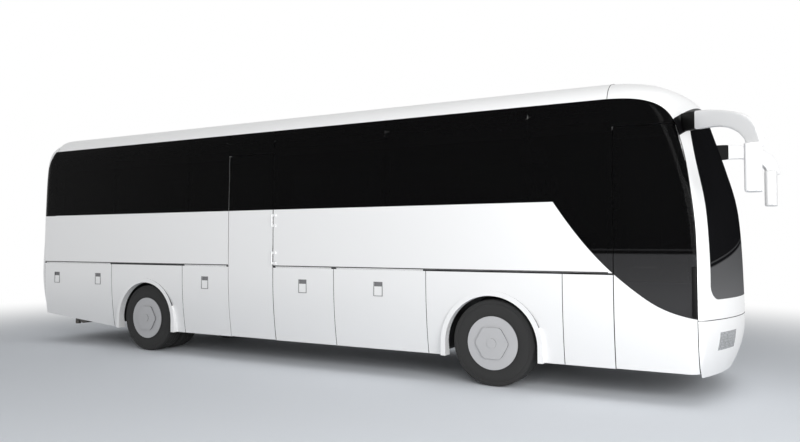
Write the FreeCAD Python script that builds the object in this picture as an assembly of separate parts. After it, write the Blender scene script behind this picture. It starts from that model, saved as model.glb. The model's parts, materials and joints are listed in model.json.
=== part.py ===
import FreeCAD, Part
import math
import os

# Coach bus. X forward, Y to the left, Z up, millimetres.
# Sizes along X are counted from the rear axle and shifted to the row's origin when written out.

V = FreeCAD.Vector
RIGHT = -1
LEFT = 1

# Whole vehicle
wheelbase = 5910.0
half_width = 1275.0
crown_height = 3590.0
front_overhang = 2632.0
rear_overhang = 2800.0
overrun = 40.0
face_clearance = 0.3

# Side section
sill_height = 323.0
sill_tuck = 88.0
tuck_height = 1000.0
tuck_power_share = 2.2
seam_height = 1381.0
band_bottom = 2189.0
band_top = 3320.0
shoulder_base = 3050.0
lean_in = 17.0
shoulder_power_share = 4.0
wall_thickness = 60.0
panel_thickness = 45.0
glass_thickness = 8.0
section_foot = 200.0

# Front and rear faces
front_plan_radius = 2900.0
front_corner_radius = 120.0
rear_plan_radius = 8000.0
rear_corner_radius = 250.0
dome_corner_radius = 520.0
corner_limit_share = 0.8
least_corner_share = 0.3
dome_run = 1442.0
rear_run = 1300.0
front_loft_start = 7100.0
rear_loft_start = -2150.0

# Front face: height over crown_height, setback over dome_run
front_profile_shares = [
    (0.0500, 0.1350), (0.0752, 0.1054), (0.1170, 0.0569), (0.1588, 0.0222), (0.2145, 0.0000),
    (0.3148, 0.0007), (0.4234, 0.0090), (0.4930, 0.0180), (0.5989, 0.0451), (0.7075, 0.1137),
    (0.8078, 0.1907), (0.8677, 0.2379), (0.9331, 0.3065), (0.9638, 0.4105), (0.9861, 0.5839),
    (0.9972, 0.7920), (1.0000, 1.0000)]

# Rear face: height over crown_height, setback over rear_run
rear_profile_shares = [
    (0.0500, 0.1350), (0.1393, 0.1000), (0.2400, 0.0300), (0.3816, 0.0000), (0.5000, 0.0200),
    (0.6128, 0.0280), (0.7159, 0.0330), (0.8078, 0.0410), (0.8747, 0.0550), (0.9276, 0.0920),
    (0.9638, 0.1700), (0.9861, 0.2800), (0.9972, 0.4000), (1.0000, 0.4900)]

# Height shares of the crown where a horizontal section is laid
level_shares = [
    0.0650, 0.0900, 0.1253, 0.1727, 0.2500, 0.3148, 0.3847, 0.5014, 0.6100, 0.7075, 0.7700,
    0.8250, 0.8650, 0.9000, 0.9300, 0.9550, 0.9740, 0.9870, 0.9950, 0.9985]

# Corner radius growth towards the roof: height share, share of the dome radius
corner_growth_shares = [(0.0, 0.0), (0.80, 0.0), (0.87, 0.12), (0.93, 0.45), (0.97, 0.8), (1.0, 1.0)]

# Rear corner radius near the foot: height share, share of the rear corner radius
rear_foot_shares = [(0.0, 0.35), (0.1393, 0.60), (0.26, 0.90), (0.38, 1.0), (1.0, 1.0)]

# Panel seams along X
rear_corner_seam = -2520.0
rear_cap_seam = -2250.0
rear_arch_start = -778.0
rear_arch_end = 833.0
middle_door_start = 1771.0
middle_door_end = 2611.0
hold_seam = 3652.0
front_arch_start = 5048.0
front_arch_end = 6786.0
front_door_start = 7355.0
front_door_end = 8205.0
dome_seam = 7298.0
panel_gap = 8.0
door_gap = 12.0
door_top = 3000.0
door_foot = 340.0
rear_foot_rise = 155.0

# Glass band
swoosh_start = 6682.0
swoosh_drop = 1266.0
swoosh_shares = [
    (0.0, 0.0), (0.150, 0.2543), (0.319, 0.4953), (0.438, 0.6351), (0.611, 0.8041),
    (0.752, 0.9123), (0.890, 0.9739), (1.0, 1.0)]
glass_front_shares = [
    (0.001, 0.086), (0.004, 0.276), (0.021, 0.432), (0.062, 0.563), (0.118, 0.697),
    (0.196, 0.816), (0.265, 0.898), (0.369, 0.944), (0.491, 0.969), (0.772, 0.994), (1.0, 1.0)]
glass_wrap = 387.0
glass_rear_shares = [(0.13, 1.0), (0.52, 0.84), (0.835, 0.624), (0.995, 0.340), (1.0, 0.0)]
window_sill = 45.0
window_top = 2930.0
window_pillar = 140.0
nose_inset_share = 1.2
pillar_places = [-700.0, 950.0, 1771.0, 2611.0, 4457.0]
front_pillar_place = 6380.0
front_pillar_width = 240.0
front_pillar_lean = 140.0
pane_gap = 5.0

# Windscreen, visor strip and dome, seen from the front
screen_bottom = 1120.0
screen_corner = 150.0
corner_knee_share = 0.29
screen_flange = 45.0
screen_edge_top_half = 885.0
screen_edge_mid_half = 1077.0
screen_edge_low_half = 1105.0
strip_half_width = 900.0
strip_bottom_centre = 3100.0
strip_bottom_drop = 140.0
strip_top_centre = 3300.0
strip_top_drop = 150.0
bumper_seam = 910.0
bumper_foot = 285.0

# Lamps
headlamp_low = 575.0
headlamp_high = 770.0
headlamp_outer = 930.0
headlamp_inner = 480.0
tail_lamp_low = 780.0
tail_lamp_high = 1330.0
tail_lamp_inner = 960.0

# Wheels and axles
tyre_radius = 520.0
tyre_width = 295.0
tyre_outer_face = 1200.0
tread_half = 118.0
tread_drop = 22.0
tyre_facets = 60
rim_radius = 285.0
rim_thickness = 15.0
twin_spacing = 330.0
hub_radius = 150.0
cover_radius = 320.0
cover_plate = 12.0
cover_step = 23.0
cover_hexagon_radius = 215.0
cover_hexagon_round = 70.0
cover_cap_radius = 58.0
cover_cap_height = 8.0
spindle_radius = 45.0
running_clearance = 0.06
kingpin_offset = 920.0
kingpin_radius = 22.0
eye_radius = 50.0
knuckle_half_depth = 40.0
eye_half_height = 40.0
lug_height = 45.0
lug_gap = 5.0
arch_radius = 588.0
arch_centre_height = 500.0
arch_lip = 62.0
liner_radius = 640.0
liner_thickness = 12.0
liner_inner = 545.0
liner_foot = 420.0
front_arch_centre = 5903.0
rear_arch_centre = 8.0
beam_width = 120.0
beam_height = 90.0
beam_drop = 110.0
beam_drop_half = 640.0
axle_tube_radius = 75.0
differential_radius = 210.0
differential_half = 190.0
spring_radius = 105.0

# Underframe and floors
rail_offset = 420.0
rail_width = 80.0
rail_height = 140.0
high_rail_bottom = 570.0
hold_rail_bottom = 330.0
hold_rail_height = 110.0
hold_floor_thickness = 20.0
bulkhead_thickness = 40.0
frame_rear = -2560.0
cross_width = 70.0
towing_eye_radius = 20.0
floor_top = 1400.0
floor_thickness = 60.0
floor_front = 6700.0
platform_top = 900.0
platform_thickness = 40.0
platform_edge = -500.0
platform_end = 8100.0
first_step = 380.0
step_thickness = 30.0
stair_inner = -300.0
stair_outer = -1128.0
stair_risers = 5
hold_floor_half = 1110.0

# Engine and exhaust
engine_start = -2440.0
engine_length = 1150.0
engine_half_width = 360.0
engine_height = 640.0
silencer_radius = 130.0
silencer_outer = 946.0
silencer_place = -1900.0
tailpipe_radius = 45.0
tailpipe_place = -2150.0

# Seats
seat_pitch = 740.0
seat_first = -1750.0
seat_rows = 11
seat_width = 850.0
seat_depth = 450.0
cushion_thickness = 130.0
cushion_top = 450.0
back_height = 1080.0
back_thickness = 110.0
back_lean = 190.0
pedestal_depth = 200.0
driver_seat_place = 7080.0
driver_seat_side = 640.0
driver_seat_width = 500.0

# Driver's place
dash_start = 7800.0
dash_top = 1480.0
dash_low = 1000.0
dash_right = -560.0
dash_left = 1020.0
column_radius = 40.0
steering_radius = 230.0
steering_tube = 16.0
spoke_radius = 11.0
steering_x = 7600.0
steering_z = 1640.0
steering_tilt = 25.0
column_length = 300.0

# Racks
rack_bottom = 2975.0
rack_depth = 380.0
rack_height = 210.0
rack_plate = 25.0

# Hinges
hinge_radius = 6.0
hinge_inset = 6.0
hinge_drop = 14.0
lid_top = 1720.0
lid_bottom = 640.0
lid_half_width = 850.0
rear_window_half = 950.0
lid_hinge_place = 400.0
lid_hinge_length = 90.0
lid_hinge_radius = 9.0
lid_hinge_out = 4.0

# Handles of the flaps
handle_width = 120.0
handle_length = 170.0
handle_depth = 12.0
handle_height = 1120.0
handle_grip_share = 0.2
engine_handle_share = 0.306

# Front door arms
arm_length = 450.0
arm_post_x = 7420.0
arm_post_y = 1130.0
arm_post_radius = 20.0
arm_elbow_x = 85.0
arm_elbow_y = 147.0
arm_bend_x = 354.0
arm_bend_y = 8.0
arm_half_thickness = 16.0
arm_low = 720.0
arm_high = 2905.0
arm_boss_radius = 24.0
arm_pin_radius = 10.0

# Middle door hinge
door_hinge_out = 14.0
door_hinge_radius = 12.0
door_hinge_length = 110.0
door_hinge_heights = [1450.0, 1980.0]

# Mirrors
mirror_root_x = 8050.0
mirror_root_y = 1000.0
mirror_swing = 40.34
mirror_thickness = 70.0
mirror_reach = 1085.0
mirror_root_low = 2935.0
mirror_root_high = 3125.0
mirror_head_bottom = 2212.0
mirror_head_inner = 810.0
mirror_head_depth = 150.0
mirror_head_width = 250.0
mirror_left_drop = 130.0
mirror_arm_outer_shares = [
    (0.494, 0.945), (0.617, 0.909), (0.745, 0.860), (0.835, 0.801), (0.908, 0.727),
    (0.943, 0.654), (0.973, 0.562), (1.0, 0.466)]
mirror_arm_inner_shares = [
    (0.821, 0.506), (0.797, 0.571), (0.763, 0.617), (0.707, 0.666), (0.642, 0.706), (0.465, 0.760)]

mirror_turn = math.radians(mirror_swing)
mirror_tip = (mirror_root_x + mirror_reach * math.cos(mirror_turn)
              + mirror_thickness / 2 * math.sin(mirror_turn))
middle_x = (mirror_tip - rear_overhang) / 2
front_tip = wheelbase + front_overhang


# Curves of the outer body

def side_half(z):
    if z < sill_height + tuck_height:
        return half_width - sill_tuck * (1 - (z - sill_height) / tuck_height) ** tuck_power_share
    if z <= band_bottom:
        return half_width
    if z <= shoulder_base:
        return half_width - lean_in * (z - band_bottom) / (shoulder_base - band_bottom)
    rise = min((z - shoulder_base) / (crown_height - shoulder_base), 1.0)
    return (half_width - lean_in) * (1 - rise ** shoulder_power_share) ** (1 / shoulder_power_share)


def side_samples():
    samples = []
    steps = 60
    for i in range(steps):
        z = section_foot + (shoulder_base - section_foot) * i / steps
        samples.append((z, side_half(z)))
    for i in range(steps):
        turn = math.pi / 2 * i / steps
        rise = math.sin(turn) ** (2 / shoulder_power_share)
        reach = math.cos(turn) ** (2 / shoulder_power_share)
        samples.append((shoulder_base + (crown_height - shoulder_base) * rise,
                        (half_width - lean_in) * reach))
    samples.append((crown_height, 0.0))
    return samples


def spline_samples(points):
    curve = Part.BSplineCurve()
    curve.interpolate([V(z, x, 0) for z, x in points])
    return [(p.x, p.y) for p in curve.discretize(260)]


def front_samples():
    return spline_samples([(crown_height * h, front_tip - dome_run * s)
                           for h, s in front_profile_shares])


def rear_samples():
    return spline_samples([(crown_height * h, rear_overhang - rear_run * s)
                           for h, s in rear_profile_shares])


def pushed_in(samples, depth):
    moved = []
    for i, (z, out) in enumerate(samples):
        za, oa = samples[max(i - 1, 0)]
        zb, ob = samples[min(i + 1, len(samples) - 1)]
        run = math.hypot(zb - za, ob - oa)
        moved.append((z + depth * (ob - oa) / run, out - depth * (zb - za) / run))
    return moved


def at_height(samples, z):
    low = samples[0]
    for high in samples[1:]:
        if high[0] >= z:
            span = high[0] - low[0]
            part = (z - low[0]) / span if span > 0 else 0.0
            return low[1] + (high[1] - low[1]) * part
        low = high
    return low[1]


def share_at(table, share):
    low = table[0]
    for high in table[1:]:
        if high[0] >= share:
            part = (share - low[0]) / (high[0] - low[0])
            return low[1] + (high[1] - low[1]) * part
        low = high
    return low[1]


SIDE = side_samples()
FRONT = front_samples()
REAR = rear_samples()


# Plain solids

def box(x0, x1, y0, y1, z0, z1):
    return Part.makeBox(x1 - x0, y1 - y0, z1 - z0, V(x0, y0, z0))


def ring(points):
    return Part.Wire([Part.LineSegment(a, b).toShape()
                      for a, b in zip(points, points[1:] + points[:1])])


def curve_edge(points):
    curve = Part.BSplineCurve()
    curve.interpolate(points)
    return curve.toShape()


def prism_y(outline, y0, y1):
    face = Part.Face(ring([V(x, y0, z) for x, z in outline]))
    return face.extrude(V(0, y1 - y0, 0))


def prism_x(outline, x0, x1):
    face = Part.Face(ring([V(x0, y, z) for y, z in outline]))
    return face.extrude(V(x1 - x0, 0, 0))


def prism_z(outline, z0, z1):
    face = Part.Face(ring([V(x, y, z0) for x, y in outline]))
    return face.extrude(V(0, 0, z1 - z0))


def rod(start, end, radius):
    return Part.makeCylinder(radius, (end - start).Length, start, end - start)


def joined(shapes):
    first = shapes[0]
    return first.fuse(shapes[1:]).removeSplitter() if len(shapes) > 1 else first


def largest(shape):
    return max(shape.Solids, key=lambda q: q.Volume)


def mirrored(shape):
    return shape.mirror(V(0, 0, 0), V(0, 1, 0))


# Walls of the straight middle, cut from the side section

def band(z0, z1, outer, inner, x0, x1):
    count = 14
    out_curve = pushed_in(SIDE, outer)
    in_curve = pushed_in(SIDE, inner)
    levels = [z0 + (z1 - z0) * i / count for i in range(count + 1)]
    out_points = [V(x0, -at_height(out_curve, z), z) for z in levels]
    in_points = [V(x0, -at_height(in_curve, z), z) for z in levels]
    edges = [curve_edge(out_points), Part.LineSegment(out_points[-1], in_points[-1]).toShape(),
             curve_edge(in_points[::-1]), Part.LineSegment(in_points[0], out_points[0]).toShape()]
    return Part.Face(Part.Wire(edges)).extrude(V(x1 - x0, 0, 0))


def roof_band(outer, inner, x0, x1):
    count = 12
    out_curve = pushed_in(SIDE, outer)
    in_curve = pushed_in(SIDE, inner)

    def half(curve, z_top):
        start = next(i for i, p in enumerate(curve) if p[0] > band_top)
        body = curve[start:]
        picks = [body[round((len(body) - 1) * i / count)] for i in range(count + 1)]
        picks = [(band_top, at_height(curve, band_top))] + [p for p in picks if p[1] > overrun]
        right = [V(x0, -y, z) for z, y in picks]
        left = [V(x0, y, z) for z, y in picks[::-1]]
        return right + [V(x0, 0, z_top)] + left

    out_points = half(out_curve, crown_height - outer)
    in_points = half(in_curve, crown_height - inner)
    edges = [curve_edge(out_points), Part.LineSegment(out_points[-1], in_points[-1]).toShape(),
             curve_edge(in_points[::-1]), Part.LineSegment(in_points[0], out_points[0]).toShape()]
    return Part.Face(Part.Wire(edges)).extrude(V(x1 - x0, 0, 0))


# Rounded ends, laid through horizontal sections

def end_section(z, depth, side_curve, end_curve, cut_x, plan_radius, corner, forward):
    w = at_height(side_curve, z)
    tip = at_height(end_curve, z)
    big = plan_radius - depth
    r = min(corner, w * corner_limit_share)
    centre = tip - big
    cy = w - r
    cx = centre + math.sqrt((big - r) ** 2 - cy ** 2)
    u = V(cx - centre, cy, 0)
    u.normalize()
    touch = V(centre, 0, 0) + u * big
    mid = V(cx, cy, 0) + (u + V(0, 1, 0)).normalize() * r
    side_point = V(cx, w, 0)
    s = 1 if forward else -1

    def place(p, flip):
        return V(s * p.x, -p.y if flip else p.y, z)

    start = V(s * cut_x, 0, 0)
    edges = [
        Part.LineSegment(place(start, False) + V(0, w, 0), place(side_point, False)).toShape(),
        Part.Arc(place(side_point, False), place(mid, False), place(touch, False)).toShape(),
        Part.Arc(place(touch, False), place(V(tip, 0, 0), False), place(touch, True)).toShape(),
        Part.Arc(place(touch, True), place(mid, True), place(side_point, True)).toShape(),
        Part.LineSegment(place(side_point, True), place(start, True) - V(0, w, 0)).toShape(),
        Part.LineSegment(place(start, True) - V(0, w, 0), place(start, False) + V(0, w, 0)).toShape()]
    return Part.Wire(edges)


def end_body(depth, forward):
    side_curve = pushed_in(SIDE, depth)
    end_curve = pushed_in(FRONT if forward else REAR, depth)
    cut_x = front_loft_start if forward else rear_loft_start
    if depth > 0:
        cut_x = cut_x - overrun if forward else cut_x + overrun
    wires = []
    top = level_shares[-1] * crown_height
    for h in level_shares:
        z = h * crown_height
        sink = depth * max(0.0, (z - shoulder_base) / (top - shoulder_base)) if z > shoulder_base else 0.0
        growth = share_at(corner_growth_shares, h)
        base = front_corner_radius if forward else rear_corner_radius * share_at(rear_foot_shares, h)
        corner = max(base + (dome_corner_radius - base) * growth - depth, base * least_corner_share)
        if depth > 0 and h == level_shares[0]:
            z = z - overrun
        plan = front_plan_radius if forward else rear_plan_radius
        wires.append(end_section(z - sink, depth, side_curve, end_curve, cut_x, plan, corner, forward))
    return Part.makeLoft(wires, True, False)


front_outer = end_body(0.0, True)
front_glass_core = end_body(glass_thickness, True)
front_core = end_body(wall_thickness, True)
rear_outer = end_body(0.0, False)
rear_glass_core = end_body(glass_thickness, False)
rear_core = end_body(wall_thickness, False)
front_shell = front_outer.cut(front_core)
rear_shell = rear_outer.cut(rear_core)


# Outlines of the glass band

def swoosh_points():
    run = front_door_end - swoosh_start
    return [(swoosh_start + run * a, band_bottom - swoosh_drop * b) for a, b in swoosh_shares]


def glass_front_points():
    run = front_door_end - dome_seam
    low = band_bottom - swoosh_drop
    return [(front_door_end - run * a, low + (band_top - low) * b) for a, b in glass_front_shares]


def glass_rear_points():
    return [(rear_cap_seam - glass_wrap * a, band_bottom + (band_top - band_bottom) * b)
            for a, b in glass_rear_shares]


def glass_face():
    swoosh = [V(x, 0, z) for x, z in swoosh_points()]
    nose = [V(front_door_end, 0, band_bottom - swoosh_drop)] + [V(x, 0, z) for x, z in glass_front_points()]
    tail = [V(x, 0, z) for x, z in glass_rear_points()]
    edges = [Part.LineSegment(tail[-1], swoosh[0]).toShape(), curve_edge(swoosh), curve_edge(nose),
             Part.LineSegment(nose[-1], tail[0]).toShape(), curve_edge(tail)]
    return Part.Face(Part.Wire(edges))


def side_prism(face):
    moved = face.copy()
    moved.translate(V(0, -half_width - overrun, 0))
    return moved.extrude(V(0, half_width + overrun - liner_inner, 0))


glass_prism = side_prism(glass_face())
nose_z = band_bottom - swoosh_drop
high_z = crown_height + overrun


def nose_region():
    nose = [V(front_door_end + panel_gap, 0, nose_z)]
    nose += [V(x + panel_gap, 0, z) for x, z in glass_front_points()[:7]]
    top = V(nose[-1].x, 0, high_z)
    far = front_tip + overrun
    points = [top, V(far, 0, high_z), V(far, 0, section_foot - overrun),
              V(nose[0].x, 0, section_foot - overrun)]
    edges = [curve_edge(nose), Part.LineSegment(nose[-1], top).toShape()]
    for a, b in zip(points, points[1:] + [nose[0]]):
        edges.append(Part.LineSegment(a, b).toShape())
    face = Part.Face(Part.Wire(edges))
    face.translate(V(0, -half_width - overrun, 0))
    return face.extrude(V(0, 2 * (half_width + overrun), 0))


# Windscreen and the strips above it, as seen from the front

def arch_line(centre, drop, half, count=8):
    places = [half * (2 * i / count - 1) for i in range(count + 1)]
    return [V(0, y, centre - drop * (y / strip_half_width) ** 2) for y in places]


def front_view_face(edges):
    face = Part.Face(Part.Wire(edges))
    face.translate(V(wheelbase + liner_radius, 0, 0))
    return face.extrude(V(front_overhang, 0, 0))


def screen_prism(inset):
    top_half = screen_edge_top_half - inset
    mid_half = screen_edge_mid_half - inset
    low_half = screen_edge_low_half - inset
    floor_z = screen_bottom + inset
    crown = arch_line(strip_bottom_centre - inset, strip_bottom_drop, top_half)
    mid_z = (screen_bottom + strip_bottom_centre) / 2
    corner = V(0, low_half, floor_z + screen_corner)
    foot = V(0, low_half - screen_corner, floor_z)
    knee = V(0, low_half - screen_corner * corner_knee_share, floor_z + screen_corner * corner_knee_share)

    def flip(p):
        return V(0, -p.y, p.z)

    left_side = [corner, V(0, (low_half + mid_half) / 2, (corner.z + mid_z) / 2), V(0, mid_half, mid_z),
                 crown[-1]]
    right_side = [flip(p) for p in left_side][::-1]
    edges = [curve_edge(crown), curve_edge(left_side[::-1]),
             Part.Arc(corner, knee, foot).toShape(), Part.LineSegment(foot, flip(foot)).toShape(),
             Part.Arc(flip(foot), flip(knee), flip(corner)).toShape(), curve_edge(right_side[::-1])]
    return front_view_face(edges)


def between_arches(low_centre, low_drop, high_centre, high_drop):
    half = half_width + overrun
    low = arch_line(low_centre, low_drop, half)
    high = arch_line(high_centre, high_drop, half)
    edges = [curve_edge(low), Part.LineSegment(low[-1], high[-1]).toShape(), curve_edge(high[::-1]),
             Part.LineSegment(high[0], low[0]).toShape()]
    return front_view_face(edges)


nodes = {}


def keep(name, solids):
    nodes[name] = solids if isinstance(solids, list) else [solids]


# Front end
nose = nose_region()
nose_shell = front_shell.common(nose)
screen = screen_prism(0.0)
screen_recess = screen.cut(front_glass_core)
strip = between_arches(strip_bottom_centre, strip_bottom_drop, strip_top_centre, strip_top_drop)
above_strip = between_arches(strip_top_centre, strip_top_drop, high_z + strip_top_drop * 2, 0.0)
wide = half_width + overrun

windscreen = screen_recess.common(front_outer)
keep("windscreen", windscreen)
mask_zone = box(dome_seam, front_tip + overrun, -wide, wide, bumper_seam + panel_gap / 2, high_z)
mask = nose_shell.common(mask_zone)
mask = mask.cut(strip).cut(above_strip).cut(screen_prism(screen_flange)).cut(windscreen)
keep("front_mask", mask)
keep("visor_strip", largest(nose_shell.common(strip).cut(windscreen)))

headlamp_box = box(wheelbase, front_tip + overrun, headlamp_inner, headlamp_outer, headlamp_low,
                   headlamp_high)
headlamp_boxes = headlamp_box.fuse(mirrored(headlamp_box))
lamp_core = front_glass_core
bumper_zone = box(dome_seam, front_tip + overrun, -wide, wide, bumper_foot, bumper_seam - panel_gap / 2)
bumper = nose_shell.common(bumper_zone)
lamp_recess = headlamp_boxes.cut(lamp_core)
keep("front_bumper", bumper.cut(lamp_recess))
keep("headlamps", lamp_recess.common(front_outer))

dome_zone = box(dome_seam + panel_gap / 2, front_tip + overrun, -wide, wide, shoulder_base - lean_in,
                high_z)
glass_both = glass_prism.fuse(mirrored(glass_prism))
dome = front_shell.common(dome_zone).cut(glass_both)
low_dome = box(dome_seam - overrun, mirror_root_x, -wide, wide, shoulder_base - overrun, shoulder_base)
dome = dome.cut(nose.cut(above_strip)).cut(low_dome)
dome = largest(dome)
keep("front_dome", dome)


# Side zones: everything is laid out on the right and mirrored for the left
door_core = end_body(panel_thickness, True)
upper_foot = seam_height + hinge_radius + face_clearance
panel_head = seam_height - hinge_drop
seam_half = panel_gap / 2
door_half = door_gap / 2


def right_box(x0, x1, z0, z1):
    return box(x0, x1, -wide, -liner_inner, z0, z1)


def section_prism(depth, z0, z1, x0, x1):
    count = 14
    curve = pushed_in(SIDE, depth)
    levels = [z0 + (z1 - z0) * i / count for i in range(count + 1)]
    right = [V(x0, -at_height(curve, z), z) for z in levels]
    left = [V(x0, at_height(curve, z), z) for z in levels[::-1]]
    edges = [curve_edge(right), Part.LineSegment(right[-1], left[0]).toShape(),
             curve_edge(left), Part.LineSegment(left[-1], right[0]).toShape()]
    return Part.Face(Part.Wire(edges)).extrude(V(x1 - x0, 0, 0))


low_band = nose_z - overrun
glass_band = band(low_band, band_top, 0.0, glass_thickness, rear_cap_seam, front_door_start - seam_half)
recess_band = band(low_band, band_top, -overrun / 2, glass_thickness, rear_cap_seam - overrun,
                   front_door_start + overrun)
middle_glass = glass_band.common(glass_prism)
middle_recess = recess_band.common(glass_prism)


# Windows between the pillars, cut through the wall behind the glass
def window_cuts(with_door):
    sill = band_bottom + window_sill
    half = window_pillar / 2
    edges = [rear_cap_seam + window_pillar] + [p for p in pillar_places]
    cuts = []
    for a, b in zip(edges, edges[1:] + [None]):
        if b is None or (with_door and a == middle_door_start):
            continue
        cuts.append(right_box(a + half, b - half, sill, window_top))
    lean = front_pillar_lean
    wide_half = front_pillar_width / 2
    cuts.append(prism_y([(pillar_places[-1] + half, sill), (front_pillar_place - wide_half + lean, sill),
                         (front_pillar_place - wide_half, window_top),
                         (pillar_places[-1] + half, window_top)],
                        -wide, -liner_inner))
    back = front_pillar_place + wide_half
    end = front_door_start - half
    low = (band_bottom + seam_height) / 2
    cuts.append(prism_y([(back + lean * 2, sill), (end, low), (end, window_top), (back, window_top)],
                        -wide, -liner_inner))
    return cuts


def wall(with_door):
    body = band(upper_foot, band_top, 0.0, wall_thickness, rear_corner_seam + seam_half,
                front_door_start - seam_half)
    upper_tail = box(rear_corner_seam, rear_cap_seam + seam_half, -wide, -liner_inner,
                     band_bottom - seam_half, high_z)
    under_dome = box(dome_seam, front_door_start, -wide, -liner_inner, band_top - seam_half, high_z)
    body = body.cut(upper_tail).cut(middle_recess).cut(under_dome)
    for cut in window_cuts(with_door):
        body = body.cut(cut)
    if with_door:
        body = body.cut(right_box(middle_door_start - door_half, middle_door_end + door_half,
                                  sill_height, door_top + door_half))
    return body


# Fixed lower panels with the wheel arches
def arch_outline(centre, radius, y0, y1, foot):
    disc = Part.makeCylinder(radius, y1 - y0, V(centre, y0, arch_centre_height), V(0, 1, 0))
    disc = disc.common(box(centre - radius, centre + radius, y0, y1, arch_centre_height, high_z))
    return disc.fuse(box(centre - radius, centre + radius, y0, y1, foot,
                         arch_centre_height)).removeSplitter()


def arch_panel(x0, x1, centre):
    foot = sill_height + door_gap
    panel = band(foot, panel_head, 0.0, panel_thickness, x0 + seam_half, x1 - seam_half)
    lip = arch_outline(centre, arch_radius + arch_lip, -half_width, -half_width + sill_tuck + door_gap,
                       foot)
    hole = arch_outline(centre, arch_radius, -wide, -liner_inner, section_foot)
    return panel.fuse(lip).cut(hole).removeSplitter()


rear_arch = arch_panel(rear_arch_start, rear_arch_end, rear_arch_centre)
front_arch = arch_panel(front_arch_start, front_arch_end, front_arch_centre)
filler_panel = band(sill_height + door_gap, panel_head, 0.0, panel_thickness,
                    front_arch_end + seam_half, front_door_start - seam_half)

# Header over the front door, behind its own glass
over_door = glass_prism.common(right_box(front_door_start - seam_half + face_clearance, front_tip,
                                         door_top + seam_half, high_z))
header = over_door.common(front_glass_core).cut(front_core)
over_door_glass = over_door.common(front_outer).cut(front_glass_core)

# Driver's side front, mirrored from the right
driver_zone = glass_prism.common(right_box(front_door_start + seam_half, front_tip, section_foot, high_z))
driver_frame = driver_zone.common(front_glass_core).cut(front_core)
driver_glass = driver_zone.common(front_outer).cut(front_glass_core)


def inner_window(x_start, z_top, inset):
    swoosh = [(x, z + inset) for x, z in swoosh_points() if x > x_start + inset * 2]
    nose_line = [(x - inset * nose_inset_share, z) for x, z in glass_front_points()
                 if nose_z + inset * 2 < z < z_top - inset]
    swoosh = [p for p in swoosh if p[0] < nose_line[0][0]]
    outline = [(x_start + inset, swoosh[0][1] + inset)] + swoosh + nose_line
    outline += [(nose_line[-1][0], z_top - inset), (x_start + inset, z_top - inset)]
    return prism_y(outline, -wide, -liner_inner)


driver_frame = driver_frame.cut(inner_window(front_door_start + seam_half, door_top - window_pillar / 2,
                                             window_pillar / 2))

# Front door: glass and frame above the swoosh, a panel below it
door_box = right_box(front_door_start + door_half, front_door_end + overrun, door_foot,
                     door_top - door_half)
nose_cut = nose.copy()
nose_cut.translate(V(-panel_gap, 0, 0))
door_zone = glass_prism.common(door_box).cut(nose_cut)
pane_slab = door_zone.cut(front_glass_core)
front_pane = pane_slab.common(front_outer)
front_leaf = door_box.cut(nose_cut).common(front_outer).cut(door_core).cut(pane_slab)
front_leaf = largest(front_leaf.cut(inner_window(front_door_start + door_half, door_top - window_pillar / 2,
                                                 window_pillar / 2)))
front_pane = largest(front_pane)

# Driver's lower panel, the mirror image of the door's lower half
driver_low_box = right_box(front_door_start + seam_half, front_door_end + overrun, sill_height + door_gap,
                           panel_head)
driver_low = front_outer.cut(door_core).common(driver_low_box).cut(nose_cut)
glass_drop = glass_prism.copy()
glass_drop.translate(V(0, 0, -panel_gap))
driver_low = driver_low.cut(glass_drop)
driver_low = largest(driver_low)


# Middle door, hinged on its front edge
leaf_x0 = middle_door_start + door_half
leaf_x1 = middle_door_end - door_half
leaf_top = door_top - door_half
middle_leaf = band(door_foot, leaf_top, 0.0, panel_thickness, leaf_x0, leaf_x1)
leaf_recess = band(band_bottom, leaf_top + overrun, -overrun / 2, glass_thickness, leaf_x0 - overrun,
                   leaf_x1 + overrun)
middle_leaf = middle_leaf.cut(leaf_recess)
middle_leaf = middle_leaf.cut(right_box(leaf_x0 + window_pillar / 2, leaf_x1 - window_pillar / 2,
                                        band_bottom + window_sill, window_top - window_sill))
middle_leaf = middle_leaf.cut(band(door_foot - overrun, leaf_top + overrun, door_gap,
                                   panel_thickness + overrun,
                                   leaf_x0 - overrun, leaf_x0 + door_gap * 2))
middle_pane = band(band_bottom, leaf_top, 0.0, glass_thickness, leaf_x0, leaf_x1)
door_axis_x = middle_door_end - door_hinge_radius
door_axis_y = -half_width - door_hinge_out
wall_lugs = []
for z in door_hinge_heights:
    barrel = rod(V(door_axis_x, door_axis_y, z), V(door_axis_x, door_axis_y, z + door_hinge_length),
                 door_hinge_radius)
    plate = box(leaf_x1 - door_hinge_length / 2, door_axis_x, door_axis_y, -half_width + door_hinge_radius,
                z, z + door_hinge_length)
    middle_leaf = middle_leaf.fuse([barrel, plate])
    for foot in (z - door_hinge_radius * 3 - face_clearance, z + door_hinge_length + face_clearance):
        head = foot + door_hinge_radius * 3
        lug = rod(V(door_axis_x, door_axis_y, foot), V(door_axis_x, door_axis_y, head), door_hinge_radius)
        strap = box(door_axis_x, middle_door_end + door_hinge_length / 2,
                    door_axis_y - door_hinge_radius / 2,
                    door_axis_y + door_hinge_radius / 2, foot, head)
        plate = box(middle_door_end, middle_door_end + door_hinge_length / 2, door_axis_y,
                    -half_width + door_hinge_radius, foot, head)
        wall_lugs += [lug, strap, plate]
middle_leaf = middle_leaf.removeSplitter()

# Front door arms: a turning post with two arms bent round the door frame and the leaf's front edge
door_pin_x = arm_post_x + arm_length
arm_height = arm_boss_radius * 2


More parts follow.
